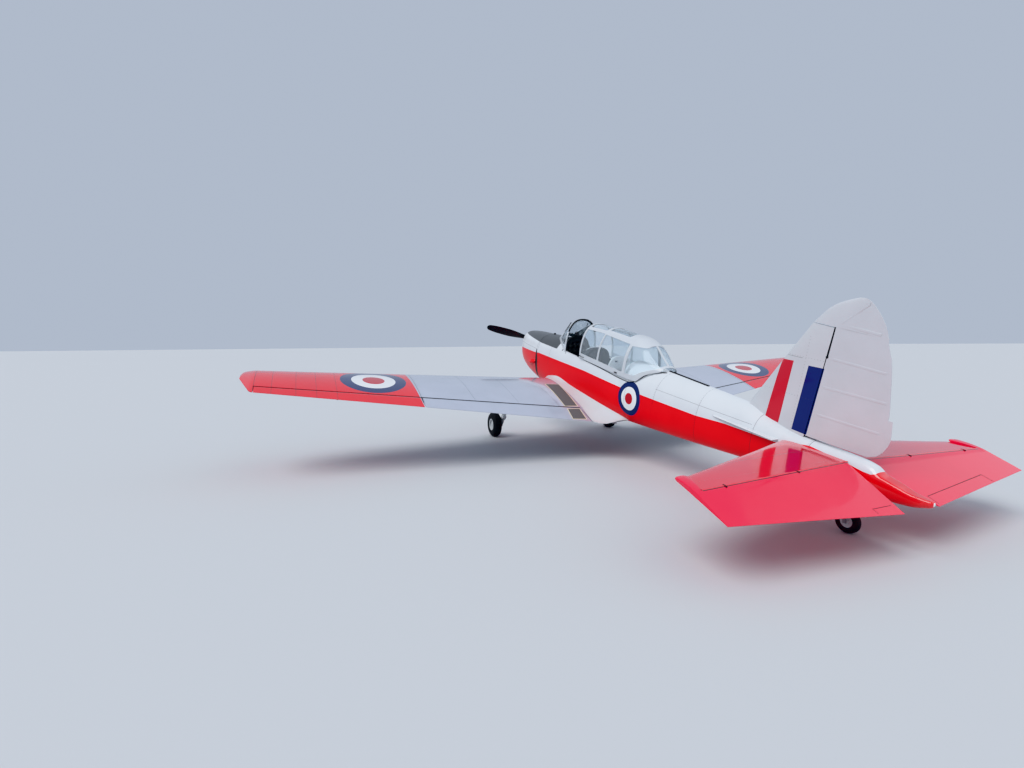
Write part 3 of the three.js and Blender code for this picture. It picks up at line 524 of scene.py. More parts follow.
skin = bendGrid("fuselage_skin", [bodyRow(station)
                                  for station in steps(fuselage["firewall"], fuselage["tailJoint"], 118)])
cutOpening(skin, fuselage["openFront"], fuselage["openRear"])
modify(skin, "SOLIDIFY", thickness=0.003, offset=-1)
fit(skin, "airframe", "white_enamel", bodyPaint, ["fuselage_cockpit", "fuselage_rear"])
print("fuselage skin")

coneEnd = [bodyRow(station) for station in steps(fuselage["tailJoint"] + 1, fuselage["tailEnd"] - 14, 44)]
coneEnd += [bodyRow(fuselage["tailEnd"] - 6, -4), bodyRow(fuselage["tailEnd"] - 1, -12)]
cone = bendGrid("tail_cone", coneEnd, closed=True)
# the same enamel on a moulded cone, still polished: a sharp highlight along its flat top
conePaint = paint("gloss_enamel_tail_cone", fuselage["white"], bodyMarks,
                  seams=[("station", 6.56, 0.005, "height", -0.3, 0.2)], gloss=0.2, coat=1.0, mirror=0.8)
fit(cone, "airframe", "red_enamel", conePaint, ["tail_fairing"])

# The white lamp at the cone's end
# pressed glass, frosted inside: a small soft bright spot
lampGlass = finish("frosted_lamp_glass", "E9ECEE", 0.12, coat=0.6)
lamp = turned("tail_lamp", [(21, 0), (21, 4), (17, 12), (9, 18), (0, 20)], (0, 0, 0), (-1, 0, 0), 24)
lamp.data.transform(Matrix.Translation(at(7556, 0, -17)) @ Matrix.Scale(0.001, 4))
fit(lamp, "airframe", "clear_acrylic", lampGlass)

# Cowl
cowl = {
    "hole": 112, "wall": 0.004, "rear": 1050,
    # station and inset of the rounded nose edge, from the front face back
    "lip": [(75, -34), (76, -22), (80, -12), (87, -5), (98, -1), (112, 0)],
    "intake": ((-0.150, 0.034, -0.330), (0.02, 0.150, -0.120)),
    "outlet": ((-1.08, -0.17, -0.74), (-0.88, 0.17, -0.56)),
    "airHole": (-110, -290), "airRadius": 0.048,
    # the blister over the cylinders: station, height, and its half sizes in metres
    "blister": (905, -300, (0.150, 0.056, 0.048, 1)),
}


def cowlShell():
    hole = [at(fuselage["cowlFront"], cowl["hole"] * sin(angle), cowl["hole"] * cos(angle))
            for angle in steps(0, 2 * pi, fuselage["columns"])]
    edge = bodyRow(*cowl["lip"][0])
    face = [[a.lerp(b, part) for a, b in zip(hole, edge)] for part in (0, 0.3, 0.65)]
    shell = bendGrid("engine_cowling", face + [bodyRow(*row) for row in cowl["lip"]]
                     + [bodyRow(station) for station in steps(140, cowl["rear"], 34)])
    modify(shell, "SOLIDIFY", thickness=cowl["wall"], offset=-1)
    for low, high in (cowl["intake"], cowl["outlet"]):
        cutAway(shell, block("cutter", low, high, round=0.03))
    y, height = cowl["airHole"]
    return cutAway(shell, rod("cutter", at(150, y, height), at(20, y, height), cowl["airRadius"]))


cowling = cowlShell()
# the enamel on the cowl's panels, wiped often: between the two
cowlPaint = paint("gloss_enamel_cowling", fuselage["white"], bodyMarks,
                  seams=[("height", -0.02, 0.005, "station", 0.13, 1.06),
                         ("height", -0.38, 0.005, "station", 0.13, 1.06),
                         ("station", 0.31, 0.005, "height", -0.6, 0.3),
                         ("y", 0.0, 0.005, "station", 0.13, 1.06)],
                  rivets=[("height", -0.005, "station", 0.12, 0.15, 1.05),
                          ("height", -0.395, "station", 0.12, 0.15, 1.05)],
                  gloss=0.36, coat=0.2, mirror=0.4)
fit(cowling, "airframe", "white_enamel", cowlPaint, ["engine_cowl"])

# A blister over the cylinders on the left, a lip round the air hole, a black band painted as the shade in
# the gap at the firewall, and a catch
bpy.ops.mesh.primitive_uv_sphere_add(segments=40, ring_count=20, radius=1)
blister = named("cowl_blister")
station, height, halves = cowl["blister"]
centre = at(station, bodyHalf(station, height) - 8, height)
blister.data.transform(Matrix.Translation(centre) @ Matrix.Rotation(radians(12), 4, "Y")
                       @ Matrix.Diagonal(halves))
fit(blister, "airframe", "red_enamel", cowlPaint)
# moulded rubber: close to matt, with a grey edge where it turns to the light
rubber = finish("black_rubber_seal", "141516", 0.62)
lipProfile = [(cowl["airRadius"] + 0.006 * cos(a), 0.006 * sin(a)) for a in steps(0, 2 * pi, 10)]
lipRing = turned("intake_lip", lipProfile, at(76, *cowl["airHole"]), (1, 0, 0), 40)
# metal rubbed bright: a thin shining ring
lipMetal = finish("polished_aluminium_lip", "B9BDC1", 0.24, metallic=1)
fit(lipRing, "airframe", "bare_steel", lipMetal)
# a black band sunk behind the gap at the firewall: painted shade in the gap
gapShadeSection = [(1046, -5), (1048, -9), (1064, -9), (1066, -5)]
gap = bendGrid("firewall_gap_shade_band", [bodyRow(station, outset) for station, outset in gapShadeSection])
fit(gap, "airframe", "cockpit_black", rubber)
catch = block("cowl_catches", at(1118, -16, 262), at(1088, 16, 288), round=0.004)
modify(catch, "BEVEL", width=0.004, segments=2)
fit(catch, "airframe", "bare_steel", rubber)
print("cowl")

# Cockpit lining, floor and the coaming that caps the opening's edge
# brushed matt paint: dark, with faint mottling, so that the opening reads as deep
liningPaint = finish("matt_black_cockpit_paint", "1C1D1F", 0.62, grain=(0.004, 0.0001, 0.2))
floorLevel = fuselage["floor"] / 1000
rows = []
for station in steps(1112, 3888, 60):
    rows.append([Vector((p.x, p.y, max(p.z, floorLevel))) for p in bodyRow(station, -fuselage["wall"])])
lining = bendGrid("cockpit_lining", rows, closed=True)
cutOpening(lining, fuselage["openFront"], fuselage["openRear"])
flipNormals(lining)
fit(lining, "airframe", "cockpit_black", liningPaint)

# the body's white again, on the sheet that caps the sills
sidePaint = paint("white_enamel_trim", fuselage["white"])
coaming = []
for side in (1, -1):
    edge = []
    for station in steps(fuselage["openFront"] - 2, fuselage["openRear"] + 2, 40):
        h = sillHeight(station)
        outer, inner = bodyHalf(station, h) + 1.5, bodyHalf(station, h) - 34
        edge.append([at(station, side * y, h + up) for y, up in
                     ((outer, -10), (outer, 2), (outer - 3, 5), (inner + 3, 5), (inner, 2), (inner, -10),
                      (outer, -10))])
    coaming.append(bendGrid("sill_capping", edge, closed=True))
fit(joinAll("sill_capping", coaming), "airframe", "white_enamel", sidePaint)

# Arched frames close the skin's thickness at both ends of the opening. The front one
# stands out a little and wraps the skin's edge
for name, station, reach, out, slot, look in (
        ("front", fuselage["openFront"] - 8, 10, 1, "cockpit_black", liningPaint),
        ("rear", fuselage["openRear"] + 8, 8, -1, "white_enamel", sidePaint)):
    section = [(-8, out), (reach, out), (reach, -34), (-8, -34), (-8, out)]
    frameRows = [[bodyPoint(station + along, angle, outset) for along, outset in section]
                 for angle in steps(-pi / 2, pi / 2, 60)
                 if bodyPoint(station, angle).z * 1000 > sillHeight(station) - 12]
    fit(bendGrid(f"opening_arch_{name}", frameRows, closed=True), "airframe", slot, look)

# Slide rails on the body's sides and the curved seal under the hood's tail
slidePath = [[2500, 127], [3220, 96], [3940, 58], [4020, 66]]
sealPath = [[4030, 70], [4080, 98], [4140, 140], [4230, 224], [4330, 268], [4460, 296]]
rails = []
for side in (1, -1):
    points = []
    for station in steps(2510, 4015, 40):
        height = rowAt(slidePath, station)[1]
        points.append(at(station, side * (bodyHalf(station, height) + 3), height))
    rails.append(tube("hood_slide", points, 0.005, 8))
    points = []
    for station in steps(4030, 4460, 24):
        height = rowAt(sealPath, station)[1]
        bodyTop = rowAt(fuselage["sections"], station)[2]
        points.append(at(station, side * (bodyHalf(station, min(height, bodyTop - 4)) + 2), height + 2))
    rails.append(tube("hood_seal", points, 0.008, 8))
fit(joinAll("hood_slides_and_seal", rails), "airframe", "control_black", rubber)
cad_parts["hood_rail"].data.materials.clear()
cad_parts["hood_rail"].data.materials.append(rubber)
print("cockpit shell")


# Wings
wing = {
    # mm; a sweep is how far an edge goes aft for each mm outward
    "leading": (1486, 0.095), "trailing": (3723, -0.163), "hinge": (3318, -0.114),
    "height": -584, "dihedral": 0.0908, "incidence": 0.037, "camber": 0.014,
    "rootThickness": 0.15, "tipThickness": 0.115, "root": 200, "tip": 5000,
    "flap": (600, 2949), "aileron": (2967, 5030), "gap": 6, "chordSteps": 26,
    # corners of the two walkway panels, metres aft and outward
    "walkways": [[(2.33, 0.50), (3.19, 0.612), (3.19, 0.822), (2.33, 0.74)],
                 [(3.282, 0.622), (3.56, 0.66), (3.555, 0.873), (3.285, 0.818)]],
    # slot is the near-black of the shade painted along the hinge gap
    "rings": ((-2.41, 3.53, 0), 0.455, 0.667, 0.333), "red": "E8121E", "slot": "17181A",
    # the red outer wing behind a slanted break, metres aft and outward
    "redOutline": [(1.5, 3.02), (3.8, 2.955), (3.8, 5.4), (1.5, 5.4)],
    # painted shade of the slot ahead of the flap and the aileron, a dark band across the hinge line: metres
    # outward, and aft of the hinge
    "slotShadeCorners": [(0.6, -0.006), (5.034, -0.006), (5.034, 0.008), (0.6, 0.008)],
    # the rounded tip: y, front, back, thickness
    "tipRows": [[5036, 1964.4, 2902.1, 0.1147], [5065, 1967, 2897, 0.112], [5110, 1978, 2766, 0.105],
                [5168, 2004, 2562, 0.09], [5208, 2060, 2420, 0.07], [5228, 2160, 2350, 0.04]],
}


def wingEdge(key, y):
    return wing[key][0] + wing[key][1] * y


def chordHeight(y, station):
    return wing["height"] + wing["dihedral"] * y - wing["incidence"] * (station - wingEdge("leading", y))


def wingSection(y, station, front=None, back=None, thickness=None):
    # the middle and half thickness of the wing's section at a station
    front = wingEdge("leading", y) if front is None else front
    back = wingEdge("trailing", y) if back is None else back
    if thickness is None:
        thickness = wing["rootThickness"] + (wing["tipThickness"] - wing["rootThickness"]) * y / wing["tip"]
    x = min(1, max(0, (station - front) / (back - front)))
    half = thickness * (1.4845 * sqrt(x) - 0.63 * x - 1.758 * x ** 2 + 1.4215 * x ** 3 - 0.503 * x ** 4)
    return chordHeight(y, station) + (back - front) * 4 * wing["camber"] * x * (1 - x), (back - front) * half


def wingRow(y, side, start, end, **shape):
    # a closed section of the wing between two stations, from its rear top round the front
    front = shape.get("front", wingEdge("leading", y))
    top, low = [], []
    for a in steps(0, pi, wing["chordSteps"]):
        # points crowd at the front edge, and at both ends of a row that starts aft of it
        part = (1 - cos(a)) / 2 if start > front + 1 else 1 - cos(a / 2)
        station = start + (end - start) * part
        middle, half = wingSection(y, station, **shape)
        top.append(at(station, side * y, middle + half))
        low.append(at(station, side * y, middle - half))
    return top[::-1] + low


def coveRow(y, side, up, down):
    # the wing ahead of a hinged surface, with a hollow that its round nose turns in
    hinge = wingEdge("hinge", y)
    middle, half = wingSection(y, hinge)
    reach = half + wing["gap"]
    top, low = radians(90 + up), radians(270 - down)
    count = wing["chordSteps"] + 1
    upper = wingRow(y, side, wingEdge("leading", y), hinge + reach * cos(top))[:count]
    lower = wingRow(y, side, wingEdge("leading", y), hinge + reach * cos(low))[count:]
    cove = [at(hinge + reach * cos(a), side * y, middle + reach * sin(a)) for a in steps(low, top, 10)]
    return upper + lower + cove + [upper[0]]


def hingedRow(y, side, nose=14):
    # a flap or an aileron: a round nose and a flat taper to a thin rear edge
    hinge, back = wingEdge("hinge", y), wingEdge("trailing", y)
    middle, half = wingSection(y, hinge)
    end = chordHeight(y, back)
    arc = [at(hinge + half * cos(a), side * y, middle + half * sin(a))
           for a in steps(pi / 2, 3 * pi / 2, nose)]
    flat = [(part, middle + (end - middle) * part, half + (2.5 - half) * part)
            for part in steps(0, 1, 6)[1:]]
    low = [at(hinge + (back - hinge) * part, side * y, centre - thick) for part, centre, thick in flat]
    top = [at(hinge + (back - hinge) * part, side * y, centre + thick) for part, centre, thick in flat]
    return arc + low + top[::-1] + [arc[0]]


def wingMarks(tree, place, axes):
    both = mirrored(tree, place)
    yield insideOutline(tree, both, wing["redOutline"], "y"), wing["red"]
    yield roundMarks(tree, both, *wing["rings"], (1, 1, 0))
    # a dark band across the hinge line: painted shade in the gap ahead of the flaps and ailerons
    slot = [(0.001 * wingEdge("hinge", 1000 * y) + along, y) for y, along in wing["slotShadeCorners"]]
    yield insideOutline(tree, both, slot, "y"), wing["slot"]


wingSeams = [("y", 2.958, 0.008, "station", 1.6, 3.5), ("y", 0.92, 0.003, "station", 1.5, 3.2),
             ("y", 1.55, 0.003, "station", 1.6, 3.1), ("y", 2.2, 0.003, "station", 1.65, 3.05),
             ("y", 4.05, 0.005, "station", 1.8, 3.1), ("y", 4.3, 0.005, "station", 1.8, 3.05),
             ("y", 4.545, 0.005, "station", 1.8, 3.0), ("y", 4.83, 0.005, "station", 1.9, 3.0),
             ("y", 5.036, 0.006, "station", 1.9, 2.92)]
# sprayed enamel, polished: light grey under a clear shine that carries the sky
wingPaint = paint("satin_enamel_wing", "B4BAC8", wingMarks, wingSeams,
                  rivets=[("y", 2.94, "station", 0.03, 1.6, 3.2), ("y", 0.905, "station", 0.03, 1.6, 3.2),
                          ("y", 2.185, "station", 0.03, 1.6, 3.2),
                          ("y", 4.035, "station", 0.03, 1.8, 2.85), ("y", 5.02, "station", 0.03, 1.9, 2.7)],
                  gloss=0.26, coat=1.0)
# paint with grit stirred in: fully matt and speckled
grit = finish("gritted_walkway_paint", "6C6B6B", 0.95, grain=(0.004, 0.0003, 0.25))
# brushed line paint: flat cream
palePaint = finish("cream_line_paint", "D8CFB4", 0.5)


def wingMat(name, outline, side, grow, lift):
    # a thin mat over a four-cornered outline on the wing's top
    middle = [sum(values) / 4 for values in zip(*outline)]
    a, b, c, d = [[1000 * (v + (grow if v > m else -grow)) for v, m in zip(corner, middle)]
                  for corner in outline]
    rows = []
    for along in steps(0, 1, 16):
        row = []
        for across in steps(0, 1, 6):
            s, y = ((a[k] * (1 - along) + b[k] * along) * (1 - across)
                    + (d[k] * (1 - along) + c[k] * along) * across for k in (0, 1))
            hinge, back = wingEdge("hinge", y), wingEdge("trailing", y)
            level, half = wingSection(y, min(s, hinge))
            part = max(0, (s - hinge) / (back - hinge))
            row.append(at(s, side * y, level + (chordHeight(y, back) - level) * part + half
                          + (2.5 - half) * part + lift))
        rows.append(row)
    return modify(bendGrid(name, rows), "SOLIDIFY", thickness=0.0005, offset=0)


for side, name in bothSides:
    flapRows = [coveRow(y, side, 0, 30) for y in steps(wing["root"], 2958, 18)]
    aileronRows = [coveRow(y, side, 18, 18) for y in steps(2958.5, 5036, 14)]
    box = bendGrid(f"wing_skin_{name}", flapRows + aileronRows, closed=True)
    aft = bendGrid("wing_root_aft", [wingRow(y, side, wingEdge("hinge", y) + 0.5, wingEdge("trailing", y))
                                     for y in steps(wing["root"], 594, 4)], closed=True)
    tipRows = []
    for y in (5036.5, 5060, 5085, 5110, 5135, 5158, 5178, 5194, 5206, 5216, 5223, 5227, 5228):
        _, front, back, thickness = rowAt(wing["tipRows"], y)
        tipRows.append(wingRow(y, side, front, back, front=front, back=back, thickness=thickness))
    tip = bendGrid("wing_tip", tipRows, closed=True)
    fit(joinAll(f"wing_skin_{name}", [box, aft, tip]), "airframe", "silver_grey_enamel", wingPaint,
        [f"wing_{name}"])
    for surface in ("flap", "aileron"):
        inner, outer = wing[surface]
        blade = bendGrid(f"{surface}_skin_{name}", [hingedRow(y, side) for y in steps(inner, outer, 12)],
                         closed=True)
        fit(blade, f"{surface}_{name}", "silver_grey_enamel", wingPaint, [f"{surface}_{name}"])
    # gritted walkways with a pale line round them, one on the wing and one on the flap
    for outline, body, place in zip(wing["walkways"], ("airframe", f"flap_{name}"), ("wing", "flap")):
        fit(wingMat(f"walkway_edge_{place}_{name}", outline, side, 0.014, 0.3), body, "white_enamel",
            palePaint)
        fit(wingMat(f"walkway_{place}_{name}", outline, side, 0, 1.0), body, "control_black", grit)
print("wings")

# Fillets between the wings' roots and the body
fillet = {
    # station, height of the top on the body, y of the outer edge, underside height
    "rows": [[1425, -548, 304, -556], [1465, -522, 336, -560], [1530, -456, 384, -558],
             [1650, -400, 430, -560], [2050, -326, 470, -560], [2450, -366, 500, -560],
             [3170, -410, 545, -600], [3600, -440, 588, -616], [3690, -448, 568, -608],
             [3790, -456, 490, -598], [3880, -468, 392, -546], [3945, -478, 322, -504],
             [3990, -486, 262, -490]],
    "inside": 150,  # y of the edge that is hidden in the body
    # how far out and how high the fairing's curve runs, as parts
    "curve": [(0, 1), (0.1, 0.78), (0.22, 0.585), (0.35, 0.42), (0.5, 0.28), (0.65, 0.16), (0.8, 0.07),
              (0.92, 0.015), (1, 0)],
}


def filletRow(station, side):
    _, top, outer, low = rowAt(fillet["rows"], station)
    if station < wingEdge("trailing", outer) - 20:
        middle, half = wingSection(outer, station)
    else:
        middle, half = low + max(0, (fillet["rows"][-1][0] - station) / 40), 0
    edge = middle + half + 3
    root = bodyHalf(station, top)
    # the underside runs up to the body where the body is higher
    _, wide, _, bottom, waist, _, corner = rowAt(fuselage["sections"], station)
    inside = fillet["inside"]
    inner = max(low, waist - (waist - bottom) * (1 - (inside / wide) ** corner) ** (1 / corner) + 6)
    points = [at(station, side * inside, top)]
    points += [at(station, side * (root + (outer - root) * out), edge + (top - edge) * up)
               for out, up in fillet["curve"]]
    points += [at(station, side * outer, min(low, edge - 3)), at(station, side * inside, inner)]
    return points + [points[0]]


# enamel over hand-shaped sheet: a softer shine than the wing's
filletPaint = paint("white_enamel_fillet", "CDD1D3", gloss=0.36, coat=0.2)
for side, name in bothSides:
    piece = bendGrid(f"wing_fairing_{name}",
                     [filletRow(station, side)
                      for station in steps(fillet["rows"][0][0], fillet["rows"][-1][0], 72)], closed=True)
    fit(piece, "airframe", "white_enamel", filletPaint, [f"wing_fillet_{name}"])
print("fillets")


# Fin and rudder
tail = {
    "hinge": ((6478, 152), (6522, 1198)),
    "noseParts": [(0, 0), (0.004, 0.17), (0.02, 0.36), (0.045, 0.5), (0.08, 0.62), (0.15, 0.77),
                  (0.25, 0.88), (0.4, 0.96), (0.6, 1), (0.8, 1)],
    "gap": 6, "half": (50, -0.022), "leading": (5588, 0.5826), "hornSlope": -0.085, "turn": 29,
    "thinEdge": 2.5, "hornFoot": 1200, "slopeStart": 993, "rudderTop": 1212,
    # the flash's red and blue stripes, and painted shade of the slot ahead of the rudder, which is wider
    # above its top hinge: station, height in metres
    "flash": [([(6.046, 0.817), (6.18, 0.823), (6.158, 0.183), (5.994, 0.2)], "CE2434"),
              ([(6.344, 0.81), (6.502, 0.814), (6.474, 0.165), (6.313, 0.17)], "051C6C")],
    "slotShades": [[(6.44, 0.915), (6.511, 0.915), (6.521, 1.2), (6.45, 1.2)],
              [(6.40, 0.15), (6.458, 0.15), (6.499, 0.918), (6.43, 0.918)]],
    # the rib tapes' ends: station, height
    "tapes": [((6558, 915), (7013, 884)), ((6530, 647), (7069, 643)), ((6530, 384), (7066, 381)),
              ((6608, 1221), (6903, 1189)), ((6567, 1242), (6758, 1429))],
    # the fixed tab: its front, then height and rear edge
    "tabFront": 7096, "tab": [(232, 7126), (300, 7155), (359, 7166), (505, 7147), (512, 7143)],
    # height, rear edge of the rudder
    "rudder": [[157, 7020], [188, 7085], [240, 7123], [500, 7113], [750, 7076], [993, 7027], [1150, 6974],
               [1212, 6962]],
    # place along the horn, height, front, back, half thickness
    "horn": [[0, 1200, 6286, 6968, 24], [1, 1275, 6334, 6914, 22], [2, 1345, 6392, 6864, 19],
             [3, 1415, 6490, 6800, 15], [4, 1458, 6600, 6750, 9], [5, 1476, 6662, 6708, 4]],
}


def finHinge(height):
    (s0, h0), (s1, h1) = tail["hinge"]
    return s0 + (s1 - s0) * (height - h0) / (h1 - h0)


def finHalf(height):
    return tail["half"][0] + tail["half"][1] * height


def finPoint(height, slope, aft, across):
    return at(finHinge(height) + aft, across, height + slope * aft)


def noseToCove(length, half, turn, gap, place):
    # a fixed tail surface: from its hinge round its front edge and back, with a hollow
    reach = half + gap
    start = radians(90 + turn)
    cut = reach * cos(start)
    sides = [(-length * (1 - x), part * half) for x, part in tail["noseParts"]
             if -length * (1 - x) < cut - 2] + [(cut, half)]
    points = [place(aft, across) for aft, across in sides[::-1]]
    points += [place(aft, -across) for aft, across in sides[1:]]
    cove = [place(reach * cos(a), reach * sin(a)) for a in steps(2 * pi - start, start, 10)]
    return points + cove[1:-1] + [points[0]]


def roundNosed(radius, length, place):
    # a hinged tail surface: a round nose, flat sides and a thin rear edge
    arc = [place(radius * cos(a), radius * sin(a)) for a in steps(pi / 2, 3 * pi / 2, 14)]
    taper = [(length * part, radius + (tail["thinEdge"] - radius) * part) for part in steps(0, 1, 6)[1:]]
    low = [place(aft, -half) for aft, half in taper]
    top = [place(aft, half) for aft, half in taper]
    return arc + low + top[::-1] + [arc[0]]


def finMarks(tree, place, axes):
    for outline, tone in tail["flash"]:
        yield insideOutline(tree, place, outline, "height"), tone


def rudderMarks(tree, place, axes):
    yield from finMarks(tree, place, axes)
    # dark bands on the rudder's nose: painted shade in the gap behind the fin
    for outline in tail["slotShades"]:
        yield insideOutline(tree, place, outline, "height"), "202123"


# enamel over sheet: even white, with rows of rivets
finPaint = paint("white_enamel_fin", "CDCFD2", finMarks,
                 seams=[("height", 0.868, 0.004, "station", 6.1, 6.27)],
                 rivets=[("station", 6.3, "height", 0.03, 0.15, 1.1),
                         ("height", 0.88, "station", 0.03, 6.1, 6.5),
                         ("height", 0.5, "station", 0.03, 5.9, 6.5)])
finRows = []
for height in steps(86, 1190, 24):
    slope = tail["hornSlope"] * (height - 90) / 1100
    length = finHinge(height) - (tail["leading"][0] + tail["leading"][1] * height)
    finRows.append(noseToCove(length, finHalf(height), tail["turn"], tail["gap"],
                              lambda aft, across: finPoint(height, slope, aft, across)))
fin = bendGrid("fin_skin", finRows, closed=True)
fit(fin, "airframe", "white_enamel", finPaint, ["fin"])

# dope over fabric: smooth between its rib tapes, with a low shine
rudderPaint = paint("white_enamel_fabric_rudder", "CBCDD1", rudderMarks, gloss=0.36, coat=0.3)
rows = []
for height in steps(157, tail["rudderTop"], 34):
    # towards its top the rudder's rows slant into the horn's
    slant = (height - tail["slopeStart"]) / (tail["rudderTop"] - tail["slopeStart"])
    slope = tail["hornSlope"] * max(0, slant)
    back = rowAt(tail["rudder"], height)[1]
    rows.append(roundNosed(finHalf(height), back - finHinge(height),
                           lambda aft, across: finPoint(height, slope, aft, across)))
main = bendGrid("rudder_skin", rows, closed=True)
hornRows = []
for along in steps(0, 5, 24):
    _, height, front, back, half = rowAt(tail["horn"], along)
    slope = tail["hornSlope"] * max(0, 1 - along)
    span = back - front
    profile = [(0, 0), (0.01, 0.3), (0.04, 0.58), (0.1, 0.8), (0.2, 0.95), (0.32, 1), (0.5, 0.86),
               (0.7, 0.58), (0.88, 0.26), (1, 2.2 / half)]
    ring = profile + [(x, -part) for x, part in profile[::-1]]
    hornRows.append([at(front + x * span, part * half,
                        height + slope * (front + x * span - finHinge(height)))
                     for x, part in ring])
horn = bendGrid("rudder_horn", hornRows, closed=True)
rudder = joinAll("rudder_skin", [main, horn])
fit(rudder, "rudder", "white_enamel", rudderPaint, ["rudder"])

# Tapes over the rudder's ribs, the fixed tab and the hinge pin's cover
tapes = []
for start, end in tail["tapes"]:
    for side in (1, -1):
        path = []
        for part in steps(0, 1, 16):
            station, height = start[0] + (end[0] - start[0]) * part, start[1] + (end[1] - start[1]) * part
            if height > tail["hornFoot"]:
                along = min(range(501), key=lambda k: abs(rowAt(tail["horn"], k / 100)[1] - height)) / 100
                _, _, front, back, half = rowAt(tail["horn"], along)
                x = (station - front) / (back - front)
                across = half * (1 if x < 0.3 else 1 - 0.72 * ((x - 0.3) / 0.7))
            else:
                back = rowAt(tail["rudder"], height)[1]
                radius = finHalf(height)
                share = (station - finHinge(height)) / (back - finHinge(height))
                across = radius + (tail["thinEdge"] - radius) * share
            path.append((station, across, height))
        strip = []
        for station, across, height in path:
            strip.append([at(station, side * (across + out), height + up)
                          for up, out in ((-13, -1), (-11, 0.8), (0, 2.2), (11, 0.8), (13, -1))])
        tapes.append(modify(bendGrid("rib_tape", strip), "SOLIDIFY", thickness=0.001, offset=-1))
fit(joinAll("rudder_rib_tapes", tapes), "rudder", "white_enamel", rudderPaint)
front, thin = tail["tabFront"], tail["thinEdge"]
tabRows = []
for height, back in tail["tab"]:
    corners = [(front, thin), (back, 1), (back, -1), (front, -thin), (front, thin)]
    tabRows.append([at(s, y, height) for s, y in corners])
fit(bendGrid("rudder_tab", tabRows, closed=True), "rudder", "white_enamel", rudderPaint)
pinHeight = 924
pins = [rod("hinge_pin", at(finHinge(pinHeight) - 8, side * 20, pinHeight),
            at(finHinge(pinHeight) - 8, side * 33, pinHeight),
            0.014, 0.012, round=0.002) for side in (1, -1)]
fit(joinAll("rudder_hinge_pins", pins), "airframe", "control_black", rubber)
print("fin and rudder")

# Tailplanes and elevators
plane = {
    "height": 40, "inner": 40, "leading": (6244, 0.29), "hinge": (6924, 0.0393), "trailing": (7532, -0.106),
    "half": (44, -0.0135), "tipY": 1690, "tipRake": 0.31, "elevatorInner": 108, "innerRake": 0.19,
    "elevatorOuter": 1833, "hornLength": 255, "droop": 13, "gap": 6,
    # the horn's section: part of its length, half thickness
    "hornShape": [(0, 0), (0.006, 4.5), (0.05, 10), (0.16, 14), (0.35, 17.5), (0.6, 20), (0.8, 20.6),
                  (0.9, 19.6), (1, 16.8)],
    # cut lines of the trim tabs: a short one on the left, a long one on the right
    "tabLines": {1: [((7424, 250), (7424, 465)), ((7424, 465), (7474, 465))],
                 -1: [((7408, 250), (7300, 1225)), ((7300, 1225), (7396, 1235)),
                      ((7408, 250), (7500, 250))]},
}


def planeAt(key, y):
    # an edge's station, or the half thickness, at a distance from the middle
    return plane[key][0] + plane[key][1] * y


def planePlace(y, side, rake, aft, up, foreRake=None):
    # a place by its distance aft of the hinge; a rake slants a row outward as it goes aft
    lean = rake if aft > 0 or foreRake is None else foreRake
    return at(planeAt("hinge", y) + aft, side * (y + lean * aft), plane["height"] + up)


# gloss enamel, polished: deep red that mirrors the fin
tailPaint = paint("gloss_red_enamel_tailplane", "E81832", gloss=0.16, coat=1.0, mirror=0.8,
                  seams=[("station", 6.62, 0.003, "y", 0.2, 1.7)],
                  rivets=[("station", 6.63, "y", 0.03, 0.2, 1.6), ("station", 6.86, "y", 0.03, 0.2, 1.7)])


def elevatorSlotShade(tree, place, axes):
    # painted shade of the slot between the tailplane and the elevator: a dark red band on the elevator's
    # nose
    both = mirrored(tree, place)
    slot = [(0.001 * planeAt("hinge", 1000 * y) + along, y)
            for y, along in ((0.1, -0.03), (1.765, -0.03), (1.765, 0.008), (0.1, 0.008))]
    yield insideOutline(tree, both, slot, "y"), "3A0C12"


